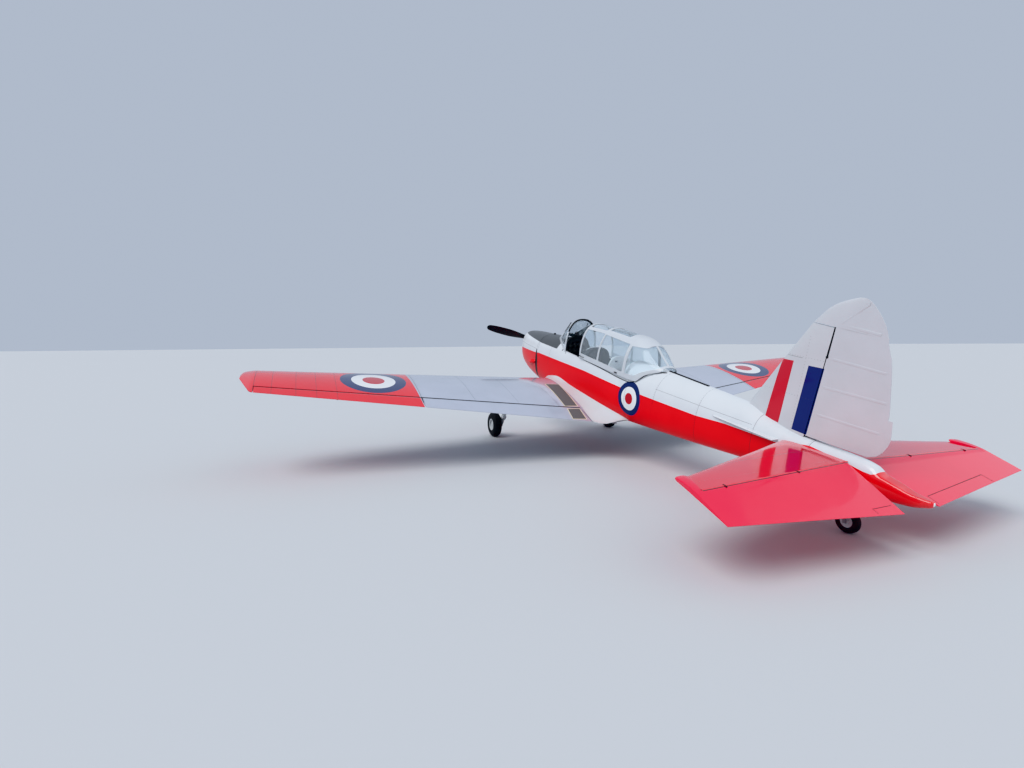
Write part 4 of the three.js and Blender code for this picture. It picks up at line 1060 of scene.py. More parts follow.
# gloss dope over fabric: pinker, and less sharp than the tailplane
elevatorPaint = paint("gloss_red_enamel_elevator", "F41A44", elevatorSlotShade, gloss=0.24, coat=0.7)
for side, name in bothSides:
    rows = []
    edgeY = plane["tipY"] + plane["tipRake"] * plane["hornLength"]
    for part in steps(0, 1, 16):
        y = plane["inner"] + (edgeY - plane["inner"]) * part
        rake = plane["tipRake"] * part
        length = planeAt("hinge", y) - planeAt("leading", y - rake * plane["hornLength"])
        rows.append(noseToCove(length, planeAt("half", y), 0, plane["gap"],
                               lambda aft, up: planePlace(y, side, rake, aft, up)))
    skin = bendGrid(f"tailplane_skin_{name}", rows, closed=True)
    fit(skin, "airframe", "red_enamel", tailPaint, [f"tailplane_{name}"])

    rows = []
    inner, outer = plane["elevatorInner"], plane["elevatorOuter"]
    for part in steps(0, 1, 16):
        y = inner + (outer - inner) * part
        rake = plane["innerRake"] * (1 - part)
        rows.append(roundNosed(planeAt("half", y), planeAt("trailing", y) - planeAt("hinge", y),
                               lambda aft, up: planePlace(y, side, rake, aft, up, 0)))
    main = bendGrid("elevator", rows, closed=True)
    hornRows = []
    for part in (0, 0.02, 0.05, 0.09, 0.15, 0.3, 0.45, 0.58, 0.7, 0.8, 0.87, 0.92, 0.955, 0.98, 0.993, 1):
        # the horn's front edge runs back in a round corner towards the tip
        y = edgeY + 8 + (outer + 1.5 - edgeY - 8) * part
        rake = plane["tipRake"] * (1 - part)
        front = -248 + 36 * max(0, 1 - part / 0.4) ** 2 + 10 * part + 26 * (1 - sqrt(1 - part ** 7))
        thin = 1 - 0.1 * part ** 8
        ring = plane["hornShape"] + [(x, -up) for x, up in plane["hornShape"][::-1]]
        # its nose sags under the tailplane's tip
        hornRows.append([planePlace(y, side, rake, front + (60 - front) * x,
                                    up * thin - 26 * max(0, 1 - x / 0.8) ** 1.6)
                         for x, up in ring])
    horn = bendGrid("elevator_horn", hornRows, closed=True)
    elevator = joinAll(f"elevator_skin_{name}", [main, horn])
    a, b = planePlace(inner, side, 0, 0, 0), planePlace(outer, side, 0, 0, 0)
    droop = Matrix.Translation(a) @ Matrix.Rotation(side * -radians(plane["droop"]), 4,
                                                    (b - a).normalized()) @ Matrix.Translation(-a)
    elevator.data.transform(droop)
    fit(elevator, f"elevator_{name}", "red_enamel", elevatorPaint, [f"elevator_{name}"])

    # hinge fairings, and the trim tab's cut lines on the elevator
    cover = block("hinge_cover", (-6.972, side * 0.73 - 0.006, 0.060),
                  (-6.930, side * 0.73 + 0.006, 0.079), round=0.004)
    second = slid(cover, "hinge_cover", -0.031, side * 0.807, -0.010)
    fit(joinAll(f"elevator_hinge_covers_{name}", [cover, second]), "airframe", "red_enamel", rubber)
    lines = []
    for (s0, y0), (s1, y1) in plane["tabLines"][side]:
        strip = []
        for part in steps(0, 1, 6):
            s, y = s0 + (s1 - s0) * part, y0 + (y1 - y0) * part
            hinge, half = planeAt("hinge", y), planeAt("half", y)
            top = half + (tail["thinEdge"] - half) * (s - hinge) / (planeAt("trailing", y) - hinge)
            along = abs(y1 - y0) > abs(s1 - s0)
            strip.append([planePlace(y + (0 if along else w), side, 0, s - hinge + (w if along else 0),
                                     top + 0.6) for w in (-2.2, 2.2)])
        lines.append(bendGrid("tab_line", strip))
        modify(lines[-1], "SOLIDIFY", thickness=0.0008, offset=0)
    marks = joinAll(f"trim_tab_lines_{name}", lines)
    marks.data.transform(droop)
    fit(marks, f"elevator_{name}", "control_black", rubber)
print("tailplanes")


# Canopy
canopy = {
    # station, half width, lower edge, top, curve power
    "hood": [[2600, 314, sillHeight(2600) + 14, 682, 2.5], [3150, 318, sillHeight(3150) + 14, 692, 2.5],
             [3830, 316, sillHeight(3830) + 14, 668, 2.5], [4090, 300, sillHeight(4090) + 20, 592, 2.3],
             [4230, 240, 215, 487, 2.1], [4410, 130, 296, 352, 2]],
    "screen": [[1560, 150, 200, 318, 3.2], [1800, 230, 150, 496, 2.9], [2060, 296, 118, 668, 2.6],
               [2108, 304, 114, 682, 2.5]],
    "wall": 0.007, "pane": 0.004, "points": 48,
    "bands": [(2609, 18, 10), (3157, 20, 9), (3834, 26, 9)],  # station, width, depth
    # windows in each side: how near the middle they reach, then station, height
    "sides": [(0, [(2640, 205), (3130, 192), (3146, 602), (2640, 594)]),
              (0, [(3174, 190), (3804, 166), (3810, 560), (3180, 594)]),
              (15, [(3866, 166), (4060, 172), (4150, 232), (4230, 276), (4372, 336), (4390, 420),
                    (4110, 640), (4098, 552), (3868, 545)])],
    # windows in the roof: station and half width at each end
    "tops": [((2650, 165), (3120, 165)), ((3180, 150), (3700, 150))],
    "screenSide": [(1740, 290), (2055, 170), (2060, 555), (1970, 525)],
    "screenTop": [(1650, -112), (2052, -192), (2052, 192), (1650, 112)],
}


def archPoint(table, station, angle, inset=0):
    _, half, low, top, power = rowAt(table, station)
    height = low + (top - inset - low) * swell(sin(angle), power) if sin(angle) > 1e-9 else low
    return at(station, (half - inset) * swell(cos(angle), power) if abs(cos(angle)) > 1e-9 else 0, height)


def archRow(table, station, inset=0):
    return [archPoint(table, station, angle, inset) for angle in steps(0, pi, canopy["points"])]


def archShell(name, table, count, inset, wall):
    shell = bendGrid(name, [archRow(table, station, inset)
                            for station in steps(table[0][0], table[-1][0], count)])
    if sum(face.normal.z * face.area for face in shell.data.polygons) < 0:
        flipNormals(shell)
    return modify(shell, "SOLIDIFY", thickness=wall, offset=-1)


def windowCutter(outline, low, high, axis, round=0.022):
    # a prism through an outline, drawn out along y or z, with rounded corners
    bottom = [at(s, low, a) if axis == "y" else at(s, a, low) for s, a in outline]
    top = [at(s, high, a) if axis == "y" else at(s, a, high) for s, a in outline]
    cutter = bendGrid("cutter", [bottom + [bottom[0]], top + [top[0]]], closed=True)
    pickOnly(cutter)
    bpy.ops.object.mode_set(mode="EDIT")
    bpy.ops.mesh.select_mode(type="EDGE")
    bpy.ops.mesh.select_all(action="DESELECT")
    bpy.ops.object.mode_set(mode="OBJECT")
    for edge in cutter.data.edges:
        a, b = (cutter.data.vertices[v].co for v in edge.vertices)
        run = b - a
        edge.select = abs(run.y if axis == "y" else run.z) > 0.9 * run.length
    bpy.ops.object.mode_set(mode="EDIT")
    bpy.ops.mesh.bevel(offset=round, segments=4)
    bpy.ops.object.mode_set(mode="OBJECT")
    return cutter


def archBand(station, width, wall, inset=-2):
    # a raised band over the hood, like a pressed frame, with its edges bevelled
    half = width / 2
    section = [(-half, wall), (-half, 1.5), (-half + 2, 0), (half - 2, 0), (half, 1.5), (half, wall),
               (-half, wall)]
    return bendGrid("hoop", [[archPoint(canopy["hood"], station + along, angle, inset + deep)
                              for along, deep in section]
                             for angle in steps(0, pi, canopy["points"])], closed=True)


# enamel over pressed frames: off-white with a soft sheen
hoodMetal = finish("white_enamel_canopy_frame", "CBCFD3", 0.3, coat=0.4, grain=(0.05, 0, 0.03))
# black enamel over tube: a thin line of light along it
darkMetal = finish("black_enamel_hoop", "1D1E20", 0.42, coat=0.2)
# acrylic sheet: a faint blue haze, thin enough to bend almost no light
acrylic = finish("clear_acrylic_glazing", "E9F2F8", 0.02, Transmission_Weight=0.9, IOR=1.3)


def aboveBody(piece):
    # takes away what the body's deck covers
    return cutAway(piece, bendGrid("body_core",
                                   [bodyRow(station, 0.5) for station in steps(1400, 2200, 16)],
                                   closed=True))


hood = archShell("hood_metalwork", canopy["hood"], 72, 0, canopy["wall"])
for inner, outline in canopy["sides"]:
    for low, high in ((inner, 400), (-400, -inner)) if inner else ((-400, 400),):
        cutAway(hood, windowCutter(outline, low, high, "y", 0.012))
for (s0, y0), (s1, y1) in canopy["tops"]:
    cutAway(hood, windowCutter([(s0, -y0), (s1, -y1), (s1, y1), (s0, y0)], 400, 800, "z"))
hood = joinAll("hood_metalwork", [hood] + [archBand(*band) for band in canopy["bands"]])
fit(hood, "hood", "white_enamel", hoodMetal, ["hood_frame"])
panes = archShell("hood_glazing", canopy["hood"], 40, 8, canopy["pane"])
fit(panes, "hood", "clear_acrylic", acrylic, ["hood_glass"])
panes.visible_shadow = False

# A grab handle and the latch on the hood's left skirt
latch = block("hood_latch", at(3700, 318, 118), at(3640, 330, 134), round=0.004)
handlePath = [(2640, 314, 170), (2640, 336, 168), (2650, 342, 166), (2740, 342, 163), (2750, 336, 162),
              (2750, 314, 160)]
handle = tube("hood_handle", [at(*point) for point in handlePath], 0.005, 8)
fit(joinAll("hood_latch", [latch, handle]), "hood", "bare_steel", darkMetal)

screen = archShell("windscreen_metalwork", canopy["screen"], 36, 0, canopy["wall"])
cutAway(screen, windowCutter(canopy["screenSide"], -400, 400, "y"))
cutAway(screen, windowCutter(canopy["screenTop"], 330, 820, "z"))
fit(aboveBody(screen), "airframe", "white_enamel", hoodMetal, ["windscreen_frame"])
archPath = [archPoint(canopy["screen"], 2097, angle, 2) for angle in steps(radians(34), radians(146), 48)]
arch = tube("windscreen_arch", archPath, 0.014, 14)
fit(arch, "airframe", "control_black", darkMetal)
glass = archShell("windscreen_glazing", canopy["screen"], 24, 8, canopy["pane"])
fit(aboveBody(glass), "airframe", "clear_acrylic", acrylic, ["windscreen_glass"])
glass.visible_shadow = False
pillars = [tube("pillar", [at(1745, side * 165, 322), at(1850, side * 196, 436),
                           at(1990, side * 168, 612)], 0.007, 8) for side in (1, -1)]
fit(joinAll("windscreen_pillars", pillars), "airframe", "control_black", darkMetal)
print("canopy")

# Propeller and spinner
propeller = {
    "angle": 13.8, "hub": 0.072,
    # radius, chord, thickness, blade angle
    "blade": [[50, 90, 60, 45], [160, 112, 46, 42], [300, 142, 30, 34], [500, 165, 20, 26],
              [750, 152, 13, 20], [940, 116, 8, 17], [985, 88, 6, 15.6], [1004, 58, 4.5, 15.2],
              [1011, 24, 3, 15]],
    "spinner": [(123, -45), (128, -45), (128, -20), (127, 0), (123, 24), (113, 55), (100, 82), (86, 105),
                (68, 130), (48, 152), (24, 170), (0, 180)],
}


def bladePiece(turn):
    angle = radians(propeller["angle"] + turn)
    outward, around = Vector((0, cos(angle), sin(angle))), Vector((0, sin(angle), -cos(angle)))
    forward = Vector((1, 0, 0))
    rows = []
    for radius in steps(50, 1011, 48):
        _, chord, thick, pitch = rowAt(propeller["blade"], radius)
        along = around * cos(radians(pitch)) + forward * sin(radians(pitch))
        across = forward * cos(radians(pitch)) - around * sin(radians(pitch))
        outline = [(0.5 * cos(a), (0.5 if sin(a) > 0 else 0.42) * sin(a) * (1 + 0.25 * cos(a)))
                   for a in steps(0, 2 * pi, 28)]
        rows.append([(outward * radius + along * (u * chord) + across * (v * thick)) / 1000
                     for u, v in outline])
    return bendGrid("blade", rows, closed=True)


# satin paint over forged alloy: a long soft highlight down each blade
propPaint = finish("satin_black_propeller", "151618", 0.33, coat=0.3, grain=(0.02, 0, 0.15))
hub = rod("hub", at(50, 0, 0), at(-45, 0, 0), propeller["hub"], round=0.006)
shaft = rod("shaft", at(190, 0, 0), at(40, 0, 0), 0.035)
fit(joinAll("propeller_blades", [bladePiece(0), bladePiece(180), hub, shaft]), "propeller",
    "propeller_black", propPaint, ["propeller"])
shell = turned("spinner_shell", [(r / 1000, a / 1000) for r, a in propeller["spinner"]], (0, 0, 0),
               (1, 0, 0), 56)
modify(shell, "SOLIDIFY", thickness=0.004, offset=-1)
angle = radians(propeller["angle"])
reach = Vector((0, cos(angle) * 0.2, sin(angle) * 0.2))
cutAway(shell, rod("cutter", -reach, reach, 0.066, sides=40))
screws = []
for out in inCircle("x", 1, 10, 0.5):
    centre = Vector((-0.030, 0, 0)) + out * 0.1275
    screws.append(rod("screw", centre - out * 0.002, centre + out * 0.002, 0.004, sides=10))
fit(joinAll("spinner_shell", [shell] + screws), "propeller", "propeller_black", propPaint, ["spinner"])
print("propeller")

# Main wheels and legs, in the row frame for what turns
gear = {
    # the axle's middle in metres, and its station and height on the level airframe
    "axle": (2.539, 1.235, 0.223), "levelAxle": (1365, -1369),
    # radius, distance from the wheel's middle
    "tyre": [(100.5, -58), (104, -61), (112, -64), (126, -71), (146, -76), (165, -77), (184, -73),
             (200, -64), (212, -52), (219, -44), (219, -38), (215, -36), (215, -30), (221, -29),
             (222, -14), (217, -13), (217, -7), (222.6, -6), (222.6, 0)],
    "rim": [(21.5, -44), (40, -46), (62, -44), (68, -30), (72, -19), (88, -18), (92, -40), (94, -66),
            (99, -68), (106, -67), (106, -64), (100, -60), (100, 0)],
    # station, y, height
    "brakePipe": [(1800, 1088, -640), (1620, 1082, -960), (1440, 1076, -1260), (1400, 1098, -1345)],
    "collar": [(1480, 1110, -1186), (1456, 1109.5, -1228)],
    # height, station, y, half length, half width
    "leg": [[-480, 1880, 1125, 95, 36], [-880, 1660, 1118, 74, 32], [-1290, 1420, 1108, 52, 27],
            [-1405, 1365, 1106, 44, 26]],
}
# cured rubber, dusty: matt and faintly mottled
tyreRubber = finish("tyre_rubber", "1B1B1C", 0.72, grain=(0.006, 0.0002, 0.25))
# enamel over cast alloy: white, with a satin shine
rimPaint = finish("white_enamel_wheel", "C9CCCE", 0.35, coat=0.3, grain=(0.04, 0, 0.06))
# machined steel: bright, with a clear reflection
bareSteel = finish("bright_steel", "9FA3A8", 0.28, metallic=1)


def bothWays(profile):
    # a section drawn to its middle, carried over to the other side and closed on its start
    whole = profile + [(r, -a) for r, a in profile[::-1][1:]] + [profile[0]]
    return [(r / 1000, a / 1000) for r, a in whole]


def outsideWing(piece, side, inner, outer):
    # takes away what the wing covers between two distances from the middle
    rows = [wingRow(y, side, wingEdge("leading", y) + 20, wingEdge("hinge", y)) for y in (inner, outer)]
    return cutAway(piece, bendGrid("wing_core", rows, closed=True))


for side, name in bothSides:
    x, y, z = gear["axle"]
    centre = Vector((x, side * y, z))
    tyre = turned(f"tyre_tread_{name}", bothWays(gear["tyre"]), centre, (0, 1, 0), 72)
    fit(tyre, f"wheel_{name}", "tyre_rubber", tyreRubber, [f"tyre_{name}"], level=False)
    rim = turned(f"wheel_hub_{name}", bothWays(gear["rim"]), centre, (0, 1, 0), 56)
    deep = Vector((0, 0.06, 0))
    holes = [rod("cutter", centre + out - deep, centre + out + deep, 0.008, sides=20)
             for out in inCircle("y", 0.054, 6)]
    cutAway(rim, joinAll("cutter", holes))
    face, high = Vector((0, side * 0.045, 0)), Vector((0, side * 0.004, 0))
    nuts = [rod("nut", centre + out + face - high, centre + out + face + high, 0.006, sides=6)
            for out in inCircle("y", 0.036, 6, 0.5)]
    fit(joinAll(f"wheel_hub_{name}", [rim] + nuts), f"wheel_{name}", "wheel_enamel", rimPaint,
        [f"wheel_rim_{name}"], level=False)

    rows = []
    for height in steps(-480, -1405, 24):
        _, station, legY, long, wide = rowAt([[-row[0]] + row[1:] for row in gear["leg"]], -height)
        rows.append([at(station + long * cos(a), side * (legY + wide * sin(a)), height)
                     for a in steps(0, 2 * pi, 32)])
    strut = bendGrid("leg", rows, closed=True)
    station, height = gear["levelAxle"]
    axle = rod("axle", at(station, side * 1105, height), at(station, side * 1285, height), 0.020,
               round=0.003)
    plate = rod("plate", at(station, side * 1135, height), at(station, side * 1169, height), 0.082,
                sides=40, round=0.004)
    leg = outsideWing(joinAll("leg", [strut, axle, plate]), side, 950, 1300)
    brakePipe = tube("brake_pipe", [at(s, side * y, h) for s, y, h in gear["brakePipe"]], 0.004, 8)
    collarEnds = [at(s, side * y, h) for s, y, h in gear["collar"]]
    collar = rod("collar", *collarEnds, 0.052, 0.05, sides=32, round=0.004)
    fit(joinAll(f"main_leg_{name}", [leg, collar, brakePipe]), "airframe", "white_enamel", filletPaint,
        [f"gear_leg_{name}"])
print("main gear")

# Tail wheel
tailX, castorX, tailZ = -3.161, -3.041, 0.108  # the axle and the castor's pivot, in the row frame
# radius, distance from the wheel's middle, in mm
tailTyre = [(56.5, -26), (62, -31), (72, -36), (84, -36), (94, -33), (101, -26), (106, -17), (107.6, -8),
            (107.6, 0)]
tailRim = [(10.5, -38), (20, -38), (22, -28), (24, -24), (50, -24), (56, -26), (56, 0)]
tyre = turned("tail_tyre", bothWays(tailTyre), (tailX, 0, tailZ), (0, 1, 0), 56)
fit(tyre, "tail_wheel", "tyre_rubber", tyreRubber, ["tailwheel_tyre"], level=False)
rim = turned("tail_wheel_hub", bothWays(tailRim), (tailX, 0, tailZ), (0, 1, 0), 48)
fit(rim, "tail_wheel", "wheel_enamel", rimPaint, ["tailwheel_rim"], level=False)
crown = block("fork_crown", (tailX - 0.016, -0.054, 0.228), (castorX + 0.030, 0.054, 0.254), round=0.006)
blades = [block("fork_blade", (tailX - 0.015, low, 0.094), (tailX + 0.017, high, 0.246), round=0.003)
          for low, high in ((0.044, 0.053), (-0.053, -0.044))]
axleRod = rod("axle", (tailX, -0.054, tailZ), (tailX, 0.054, tailZ), 0.009, round=0.001)
nuts = [rod("nut", (tailX, side * 0.0535, tailZ), (tailX, side * 0.0545, tailZ), 0.013, sides=6)
        for side in (1, -1)]
spindle = rod("spindle", (castorX, 0, 0.252), (castorX, 0, 0.334), 0.0138)
# enamel over forged steel: mid grey and even
forkPaint = finish("grey_enamel_fork", "8E9296", 0.4, coat=0.3, grain=(0.02, 0, 0.08))
fit(joinAll("tail_fork", [crown] + blades + [axleRod, spindle] + nuts), "tail_fork", "bare_steel",
    forkPaint, ["tailwheel_fork"], level=False)
# the boss that the fork's spindle turns in: radius, height
bossProfile = [(0.015, 0.262), (0.0262, 0.262), (0.028, 0.264), (0.028, 0.338), (0.0262, 0.340),
               (0.015, 0.340), (0.015, 0.262)]
bossPiece = turned("boss", bossProfile, (castorX, 0, 0), (0, 0, 1), 40)
foot = levelToRow @ at(6690, 0, -100)
strut = rod("strut", (castorX + 0.024, 0, 0.303), foot, 0.026, 0.040, sides=32)
boot = turned("boot", [(0.046 + 0.006 * (i % 2), 0.012 * i) for i in range(7)], (0, 0, 0), (0, 0, 1), 32)
bootTurn = (Vector(foot) - Vector((castorX + 0.03, 0, 0.305))).to_track_quat("Z", "Y").to_matrix().to_4x4()
boot.data.transform(Matrix.Translation(foot) @ bootTurn @ Matrix.Translation((0, 0, -0.16)))
modify(boot, "SOLIDIFY", thickness=0.002, offset=-1)
fit(joinAll("tail_strut", [bossPiece, strut]), "airframe", "white_enamel", forkPaint, ["tail_leg"],
    level=False)
fit(boot, "airframe", "control_black", rubber, level=False)
print("tail wheel")


# Cockpit: loops make both places alike, and the simulated cushions are copied aft
cockpit = {
    "panels": [(1965, 380, 235), (2640, 292, 225)],  # station, top, half width
    "seats": [(2140, -20), (2880, -18)],  # station of the pan's front, lift
    "sticks": [2070, 2760],
    # y, height above the sill, radius of the dials, and the turn of each needle
    "dials": [(-118, 95, 38, 40), (-35, 108, 40, 160), (52, 108, 40, 250), (132, 92, 38, 300),
              (-120, 5, 38, 100), (-35, 12, 40, 20), (52, 12, 40, 200), (134, 5, 38, 330),
              (-205, 20, 24, 60), (204, 12, 24, 120)],
    "webbing": (21, 0.0024),  # half width in mm, thickness in metres
    # metres: size of the remeshed cells, and how far the cloth may move
    "cell": 0.0085, "swell": 0.014,
    # parts of a cushion's half length where it is sewn, metres either way and deep
    "channels": (-0.5, 0, 0.5), "channelReach": 0.012, "channelDepth": 0.0065,
}
# crackle paint on the panels, printed dials, turned bezels, moulded knobs and sheet seats:
# all quiet, so that the dials' marks are what shows
panelPaint = finish("black_crackle_paint", "161718", 0.7, grain=(0.0022, 0.00025, 0.3))
dialFace = finish("dial_face_black", "0B0B0C", 0.5)
dialWhite = finish("dial_marking_white", "DADAD2", 0.5)
bezelPaint = finish("satin_black_bezel", "202124", 0.35, coat=0.3)
knobPlastic = finish("moulded_black_plastic", "1A1A1C", 0.38, grain=(0.0015, 0.0001, 0.1))
shellPaint = finish("light_grey_enamel_seat", "DCDEE0", 0.38, coat=0.3, grain=(0.09, 0, 0.05))


def dial(station, y, height, radius, needle):
    # a bezel, a face, ticks and a needle, facing aft
    place = at(station, y, height)
    r = radius / 1000
    bezel = turned("bezel", [(r * 0.84, 0), (r * 0.86, 0.005), (r * 0.93, 0.008), (r, 0.006),
                             (r * 1.02, 0)], place, (-1, 0, 0), 28)
    face = turned("face", [(0.0001, 0.0012), (r * 0.86, 0.0012)], place, (-1, 0, 0), 28)
    marks = []
    for turn in steps(0, 2 * pi, 12)[:-1]:
        tick = block("tick", (-0.0021, -0.0009, r * 0.64), (-0.0014, 0.0009, r * 0.80))
        tick.data.transform(Matrix.Translation(place) @ Matrix.Rotation(turn, 4, "X"))
        marks.append(tick)
    hand = block("hand", (-0.0035, -0.0012, -r * 0.15), (-0.0028, 0.0012, r * 0.6))
    hand.data.transform(Matrix.Translation(place) @ Matrix.Rotation(radians(needle), 4, "X"))
    return bezel, face, marks + [hand]


for (station, top, half), name, fall in zip(cockpit["panels"], ("front", "rear"), (0.35, 0.1)):
    bezels, faces, marks = [], [], []
    for y, height, radius, needle in cockpit["dials"]:
        bezel, face, whites = dial(station + 22.5, y, sillHeight(station) + height * (top / 395) - 6,
                                   radius, needle)
        bezels.append(bezel)
        faces.append(face)
        marks += whites
    switches = []
    for i in range(6):
        spot = at(station + 22, -95 + 38 * i, sillHeight(station) - 72)
        switches += [rod("switch", spot, spot + Vector((-0.005, 0, 0)), 0.008, sides=16),
                     rod("switch", spot + Vector((-0.004, 0, 0)), spot + Vector((-0.020, 0, 0.006)),
                         0.0028, sides=10)]
    fit(joinAll(f"dial_bezels_{name}", bezels + switches), "airframe", "control_black", bezelPaint)
    fit(joinAll(f"dial_faces_{name}", faces), "airframe", "control_black", dialFace)
    fit(joinAll(f"dial_marks_{name}", marks), "airframe", "white_enamel", dialWhite)
    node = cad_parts[f"instrument_panel_{name}"]
    node.data.materials.clear()
    node.data.materials.append(panelPaint)
    # a padded roll along the panel's top, and the glare shield ahead of it
    edge = [half, sillHeight(station) - 10, top, 2.4]
    table = [[station] + edge, [station + 22] + edge]
    roll = tube("coaming", [archPoint(table, station + 12, angle, 6)
                            for angle in steps(radians(4), radians(176), 40)], 0.016, 12)
    reach = 1840 if name == "front" else station - 70
    shieldRows = []
    for s in steps(reach, station + 4, 8):
        edge = [half - 4, sillHeight(s) - 10, top - 2 - (station - s) * fall, 2.4]
        shieldRows.append([archPoint([[s] + edge, [s + 1] + edge], s, angle)
                           for angle in steps(radians(14), radians(166), 30)])
    shield = bendGrid("shield", shieldRows)
    modify(shield, "SOLIDIFY", thickness=0.003, offset=0)
    plate = bendGrid("plate", [[archPoint(table, station + 14, angle, inset)
                                for angle in steps(radians(4), radians(176), 40)]
                               for inset in (8, 80)])
    modify(plate, "SOLIDIFY", thickness=0.004, offset=0)
    fit(joinAll(f"coaming_{name}", [roll, shield, plate]), "airframe", "control_black", rubber)
compass = turned("compass", [(0.0001, 0.062), (0.018, 0.060), (0.030, 0.050), (0.036, 0.034),
                             (0.036, 0.012), (0.042, 0.006), (0.042, -0.012)],
                 at(1925, 0, 382), (0, 0, 1), 28)
fit(compass, "airframe", "control_black", bezelPaint)
print("panels")

# Seats: a bucket of light grey sheet, two cushions and the harness
seatShape = {
    # distance aft of the pan's front, height above the lift, half width, height of the side walls
    "shell": [(0, -296, 196, 12), (20, -284, 200, 40), (120, -286, 204, 92), (240, -290, 205, 120),
              (318, -292, 204, 130), (352, -270, 202, 128), (372, -200, 200, 112), (394, -100, 197, 88),
              (412, 0, 194, 66), (426, 100, 190, 48), (436, 180, 188, 34), (438, 240, 180, 22),
              (434, 278, 152, 12), (428, 300, 104, 5), (425, 308, 50, 2)],
    # distance aft, height, half width, length and thickness in metres, and lean in degrees
    "cushions": [(175, -258, (0.165, 0.155, 0.030), 0), (365, -10, (0.158, 0.205, 0.026), 81)],
    # the shell's cross section: part of the half width, part of the side wall's height
    "across": [(0, 0), (0.3, 0), (0.6, 0), (0.86, 0.04), (0.95, 0.22), (0.985, 0.6), (1, 1)],
    # the straps: distance aft, y, height
    "shoulderStrap": [(446, 86, 214), (440, 85, 236), (430, 84, 243), (404, 82, 232), (372, 80, 170),
                      (350, 76, 90), (328, 70, 10), (302, 60, -80), (262, 44, -160), (212, 26, -196)],
    "lapStrap": [(330, 196, -236), (296, 184, -216), (262, 150, -204), (232, 100, -197), (212, 50, -194),
                 (205, 16, -193)],
}


def seatShell(station, lift):
    rows = []
    across = [(-part, high) for part, high in seatShape["across"][:0:-1]] + seatShape["across"]
    for aft, up, half, wall in seatShape["shell"]:
        # the side walls stand up from the pan and forward from the back
        lean = min(1, max(0, (aft - 318) / 76))
        rows.append([at(station + aft - wall * high * lean, part * half,
                        lift + up + wall * high * (1 - lean))
                     for part, high in across])
    shell = bendGrid("seat_shell", rows)
    modify(shell, "SOLIDIFY", thickness=0.004, offset=0)
    return modify(shell, "SUBSURF", levels=1, render_levels=1)


def cushion(name, centre, halfSize, lean):
    # a padded cushion: a rounded block blown up as cloth, then stitched by its seams
    wide, long, thick = halfSize
    bpy.ops.mesh.primitive_cube_add(size=2)
    pad = named(name)
    for vertex in pad.data.vertices:
        vertex.co = Vector((vertex.co.x * long, vertex.co.y * wide, vertex.co.z * thick))
    modify(pad, "BEVEL", width=0.018, segments=3)
    modify(pad, "REMESH", mode="VOXEL", voxel_size=cockpit["cell"])
    pickOnly(pad)
    before = [vertex.co.copy() for vertex in pad.data.vertices]
    cloth = pad.modifiers.new("cloth", "CLOTH")
    cloth.settings.use_pressure = True
    cloth.settings.uniform_pressure_force = 4
    cloth.settings.effector_weights.gravity = 0
    for number in range(1, 16):
        bpy.context.scene.frame_set(number)
    bpy.ops.object.modifier_apply(modifier=cloth.name)
    bpy.context.scene.frame_set(1)
    for vertex, start in zip(pad.data.vertices, before):
        move = vertex.co - start
        if move.length > cockpit["swell"]:
            vertex.co = start + move.normalized() * cockpit["swell"]
    # sewn channels across the cushion
    for vertex in pad.data.vertices:
        for channel in cockpit["channels"]:
            near = abs(vertex.co.x - channel * long) / cockpit["channelReach"]
            if near < 1 and abs(vertex.co.z) > thick * 0.5:
                vertex.co.z -= cockpit["channelDepth"] * (1 - near) ** 2 * (1 if vertex.co.z > 0 else -1)
    pad.data.transform(Matrix.Translation(centre) @ Matrix.Rotation(lean, 4, "Y"))
    return pad


def strapAlong(name, path):
    # flat webbing through (station, y, height) points, laid with its face outward
    half, thick = cockpit["webbing"]
    points = [at(*point) for point in path]
    rows = []
    for i, point in enumerate(points):
        ahead = (points[min(i + 1, len(points) - 1)] - points[max(i - 1, 0)]).normalized()
        side = Vector((0, 1, 0)) if abs(ahead.y) < 0.8 else Vector((0.6, 0, 0.8))
        across = (side - ahead * side.dot(ahead)).normalized()
        rows.append([point + across * (half / 1000 * u) for u in (-1, -0.93, -0.5, 0, 0.5, 0.93, 1)])
    strip = bendGrid(name, rows)
    return modify(strip, "SOLIDIFY", thickness=thick, offset=0)


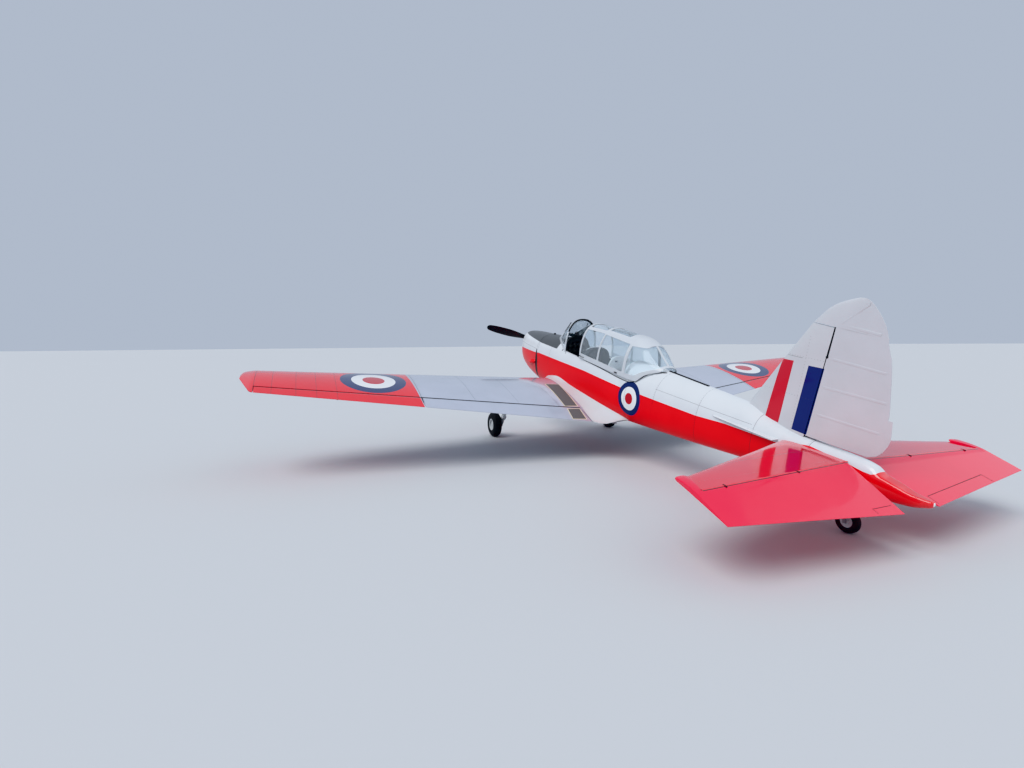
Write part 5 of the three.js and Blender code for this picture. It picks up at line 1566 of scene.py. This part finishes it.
cloth = bpy.data.materials.new("woven_wool_seat_cloth")
webbing = bpy.data.materials.new("woven_nylon_webbing")
for material, tone, thread in ((cloth, "2A2C30", 0.0016), (webbing, "3B4454", 0.0022)):
    # two sets of threads that cross: the weave of cloth, and the ribs of webbing
    material.use_nodes = True
    tree = material.node_tree
    shader = tree.nodes["Principled BSDF"]
    shader.inputs["Roughness"].default_value = 0.85
    shader.inputs["Sheen Weight"].default_value = 0.35
    place = addNode(tree, "TexCoord").outputs["Object"]
    warp = addNode(tree, "TexWave", {"Vector": place, "Scale": 0.31 / thread, "Distortion": 0.4},
                   bands_direction="Y")
    weft = addNode(tree, "TexWave", {"Vector": place, "Scale": 0.31 / thread, "Distortion": 0.4},
                   bands_direction="X")
    both = addNode(tree, "Math", {0: warp.outputs["Fac"], 1: weft.outputs["Fac"]}, operation="MULTIPLY")
    wear = addNode(tree, "TexNoise", {"Vector": place, "Scale": 14.0, "Detail": 5.0})
    mixed = addNode(tree, "Math", {0: both, 1: 0.35, 2: wear.outputs["Fac"]}, operation="MULTIPLY_ADD")
    tones = addNode(tree, "MapRange", {"Value": mixed, 1: 0.2, 2: 0.9, 3: 0.65, 4: 1.35})
    shade = addNode(tree, "HueSaturation", {"Value": tones, "Color": linear(tone)})
    bump = addNode(tree, "Bump", {"Height": both, "Distance": 0.0005, "Strength": 0.7})
    tree.links.new(shade.outputs[0], shader.inputs["Base Color"])
    tree.links.new(bump.outputs[0], shader.inputs["Normal"])

firstStation, firstLift = cockpit["seats"][0]
basePad, backPad = (cushion("cushion", at(firstStation + aft, 0, firstLift + up), halfSize, -radians(lean))
                    for aft, up, halfSize, lean in seatShape["cushions"])
for (station, lift), name in zip(cockpit["seats"], ("front", "rear")):
    x, z = -(station - firstStation) / 1000, (lift - firstLift) / 1000
    shell = seatShell(station, lift)
    legs = [rod("leg", at(station + a, y, lift - 292), at(station + b, y, fuselage["floor"] + 2), 0.011,
                sides=12)
            for y in (-150, 150) for a, b in ((60, 40), (290, 300))]
    fit(joinAll(f"seat_shell_{name}", [shell] + legs), "airframe", "white_enamel", shellPaint)
    pads = [slid(basePad, f"seat_cushion_{name}", x, 0, z), slid(backPad, f"back_cushion_{name}", x, 0, z)]
    for pad in pads:
        fit(pad, "airframe", "seat_cloth", cloth, [f"seat_{name}"], angle=60)
    straps = []
    for side in (1, -1):
        for strap in ("shoulderStrap", "lapStrap"):
            straps.append(strapAlong("strap",
                                     [(station + a, side * y, lift + h) for a, y, h in seatShape[strap]]))
    fit(joinAll(f"harness_{name}", straps), "airframe", "seat_cloth", webbing)
    buckle = rod("harness_buckle", at(station + 206, 0, lift - 196), at(station + 206, 0, lift - 178),
                 0.034, 0.030, sides=28, round=0.004)
    fit(buckle, "airframe", "bare_steel", bareSteel)
bpy.data.objects.remove(basePad)
bpy.data.objects.remove(backPad)
print("seats")

# Sticks with a bellows boot and a moulded grip, throttle boxes and rudder pedals
low = fuselage["floor"]
# the grip with its finger grooves: radius, height
gripProfile = [(0.0001, -0.001), (0.017, 0), (0.0185, 0.012), (0.0165, 0.030), (0.0190, 0.046),
               (0.0165, 0.062), (0.0190, 0.078), (0.0175, 0.098), (0.0195, 0.108), (0.014, 0.116),
               (0.0001, 0.118)]
for station, name in zip(cockpit["sticks"], ("front", "rear")):
    ridges = [(0.052, 0), (0.052, 0.004)]
    ridges += [(0.047 - 0.0052 * i + (0.005 if i % 2 else 0), 0.008 + 0.0075 * i) for i in range(6)]
    ridges += [(0.012, 0.055), (0.010, 0.055)]
    boot = turned("boot", ridges, at(station, 0, low + 3), (0, 0, 1), 28)
    post = tube("post", [at(station, 0, low + 30), at(station + 8, 0, -300), at(station + 25, 0, -92),
                         at(station + 24, 0, -60)], 0.0115, 14)
    grip = turned("grip", gripProfile, at(station + 25, 0, -97), (0, 0, 1), 24)
    button = rod("button", at(station + 30, 0, 8), at(station + 46, 0, 14), 0.006, sides=14, round=0.001)
    fit(joinAll(f"control_stick_{name}", [boot, post, grip, button]), "airframe", "control_black",
        knobPlastic, [f"control_stick_{name}"])
    side = bodyHalf(station, -40) - 34
    box = block("box", at(station + 190, side - 46, 28), at(station + 40, side - 4, -60), round=0.006)
    levers = []
    for along, knob in ((90, 0.016), (140, 0.012)):
        foot = at(station + along, side - 24, 24)
        head = foot + Vector((0.035, 0, 0.075))
        ball = [(0.0001, -knob), (knob * 0.8, -knob * 0.6), (knob, 0), (knob * 0.8, knob * 0.6),
                (0.0001, knob)]
        levers += [rod("lever", foot, head, 0.004, sides=10), turned("knob", ball, head, (0, 1, 0), 18)]
    fit(joinAll(f"throttle_box_{name}", [box] + levers), "airframe", "control_black", knobPlastic)
pedals = []
for station, reach in ((1640, 120), (2395, 252)):
    for side in (1, -1):
        pedals += [block("pedal", at(station + 12, side * reach - 38, low + 150),
                         at(station, side * reach + 38, low + 70), round=0.004),
                   rod("pedal", at(station + 6, side * reach, low + 110),
                       at(station - 40, side * reach, low + 6), 0.010, sides=12)]
fit(joinAll("rudder_pedals", pedals), "airframe", "bare_steel", forkPaint)
boards = [block("board", at(3240, y - 46, low + 3), at(1660, y + 46, low + 11), round=0.002)
          for y in (-150, -50, 50, 150)]
fit(joinAll("floor_boards", boards), "airframe", "cockpit_black", liningPaint)
ribs = []
for station in (1780, 2330, 2600, 2950, 3330):
    rows = []
    for angle in steps(0, 2 * pi, 60):
        if bodyPoint(station, angle, -32).z * 1000 < sillHeight(station) - 6:
            rows.append([bodyPoint(station + along, angle, outset)
                         for along, outset in ((-9, -29), (9, -29), (9, -44), (-9, -44), (-9, -29))])
    ribs.append(bendGrid("rib", rows, closed=True))
fit(joinAll("cockpit_frames", ribs), "airframe", "cockpit_black", liningPaint)
shelfRows = []
for station in steps(3352, 3800, 12):
    height = sillHeight(station) - 30
    half = bodyHalf(station, height) - 34
    shelfRows.append([at(station, y, height) for y in steps(-half, half, 8)])
shelf = modify(bendGrid("parcel_shelf", shelfRows), "SOLIDIFY", thickness=0.004, offset=0)
fit(shelf, "airframe", "white_enamel", shellPaint)
print("cockpit")

# Exhaust, engine, pitot head and strakes
# steel that has run hot: brown, blotched and rough
stain = finish("heat_stained_steel", "6B5A50", 0.5, metallic=0.9, grain=(0.03, 0.0002, 0.35))
exhaust = {
    # station, y, height; the plug shuts the bore out of sight
    "path": [(740, -70, -415), (780, -74, -446), (820, -80, -480), (862, -87, -522), (900, -95, -570),
             (940, -101, -626), (975, -104, -668), (1004, -105, -706), (1035, -105, -745)],
    "flange": [(745, -71, -419), (753, -72, -426)], "plug": [(900, -95, -570), (904, -96, -576)],
    "radius": 0.030, "flangeRadius": 0.042, "plugRadius": 0.0285, "wall": 0.0018,
}
pipe = tube("exhaust_stub", [at(*point) for point in exhaust["path"]], exhaust["radius"], 28, closed=False)
modify(pipe, "SOLIDIFY", thickness=exhaust["wall"], offset=-1)
flange = rod("flange", *(at(*point) for point in exhaust["flange"]), exhaust["flangeRadius"], sides=28,
             round=0.001)
plug = rod("plug", *(at(*point) for point in exhaust["plug"]), exhaust["plugRadius"], sides=28)
fit(joinAll("exhaust_stub", [pipe, flange, plug]), "airframe", "exhaust_metal", stain, ["exhaust_pipe"])
# metal as it left the sand mould: dull grey with a rough grain
castMetal = finish("sand_cast_aluminium", "6F7173", 0.55, metallic=0.7, grain=(0.004, 0.0004, 0.25))
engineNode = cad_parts["engine_block"]
engineNode.data.materials.clear()
engineNode.data.materials.append(castMetal)
mast = bendGrid("mast", [[at(s + long * cos(a), 4020 + wide * sin(a), h) for a in steps(0, 2 * pi, 20)]
                         for s, h, long, wide in ((2378, -300, 24, 9), (2360, -360, 22, 8),
                                                  (2342, -430, 19, 7), (2330, -466, 17, 7))], closed=True)
mast = outsideWing(mast, 1, 3900, 4150)
head = turned("pitot_head", [(0.0001, 0), (0.0035, 0.001), (0.0045, 0.004), (0.0075, 0.03), (0.0085, 0.12),
                             (0.0090, 0.27), (0.0060, 0.278), (0.0001, 0.28)],
              at(2070, 4020, -458), (-1, 0, -0.04), 20)
fit(joinAll("pitot_head_mast", [mast, head]), "airframe", "bare_steel", knobPlastic, ["pitot_head"])
# enamel over bent sheet: a little whiter, with a row of rivets along it
strakePaint = paint("white_enamel_strake", "DFE1E3", rivets=[("y", 0.19, "station", 0.025, 5.5, 6.25)])
for side, name in bothSides:
    rows = []
    for station, outer in ((5440, 118), (5442, 196), (5470, 216), (5510, 226), (5800, 226), (6270, 226)):
        inner = bodyHalf(station, 50) - 4
        rows.append([at(station, side * y, h)
                     for y, h in ((inner, 46.6), (outer - 3, 46.6), (outer, 50), (outer - 3, 53.4),
                                  (inner, 53.4), (inner, 46.6))])
    fit(bendGrid(f"strake_skin_{name}", rows, closed=True), "airframe", "white_enamel", strakePaint,
        [f"strake_{name}"])
print("details")


# Floor, light and camera
# pale and matt: soft shadows, and light thrown back under the wings
floorFinish = finish("pale_studio_floor", "C9CBCD", 0.8)
bpy.ops.mesh.primitive_plane_add(size=600, location=(0, 0, -0.001))
ground = named("studio_floor")
ground.data.materials.append(floorFinish)

world = bpy.data.worlds.new("pale studio")
bpy.context.scene.world = world
world.use_nodes = True
world.node_tree.nodes["Background"].inputs[0].default_value = linear("D6E2F4")
world.node_tree.nodes["Background"].inputs[1].default_value = 0.7

for name, place, strength, spread in (("key light", (-3, 8, 11), 1.95, 40),
                                      ("fill light", (-8, -9, 6), 0.5, 90)):
    bpy.ops.object.light_add(type="SUN", location=place, rotation=aimed(Vector(place)))
    light = bpy.context.object
    light.name = name
    light.data.energy = strength
    light.data.angle = radians(spread)

# the photo's camera: metres, degrees, and millimetres for the lens
view = {"place": (-6.033, 4.406, 1.704), "yaw": 22.352, "pitch": -4.614, "roll": -0.449, "lens": 17.544}
yaw, pitch, roll = (radians(view[key]) for key in ("yaw", "pitch", "roll"))
ahead = Vector((cos(pitch) * cos(yaw), -cos(pitch) * sin(yaw), sin(pitch)))
right = Vector((-sin(yaw), -cos(yaw), 0))
above = right.cross(ahead)
right, above = right * cos(roll) + above * sin(roll), above * cos(roll) - right * sin(roll)
bpy.ops.object.camera_add(location=view["place"])
camera = bpy.context.object
camera.rotation_euler = Matrix((right, above, -ahead)).transposed().to_euler()
camera.data.lens = view["lens"]
camera.data.sensor_width = 36
camera.data.clip_end = 2000
bpy.context.scene.camera = camera
bpy.context.scene.view_settings.view_transform = "Khronos PBR Neutral"  # keeps the enamels' colours true
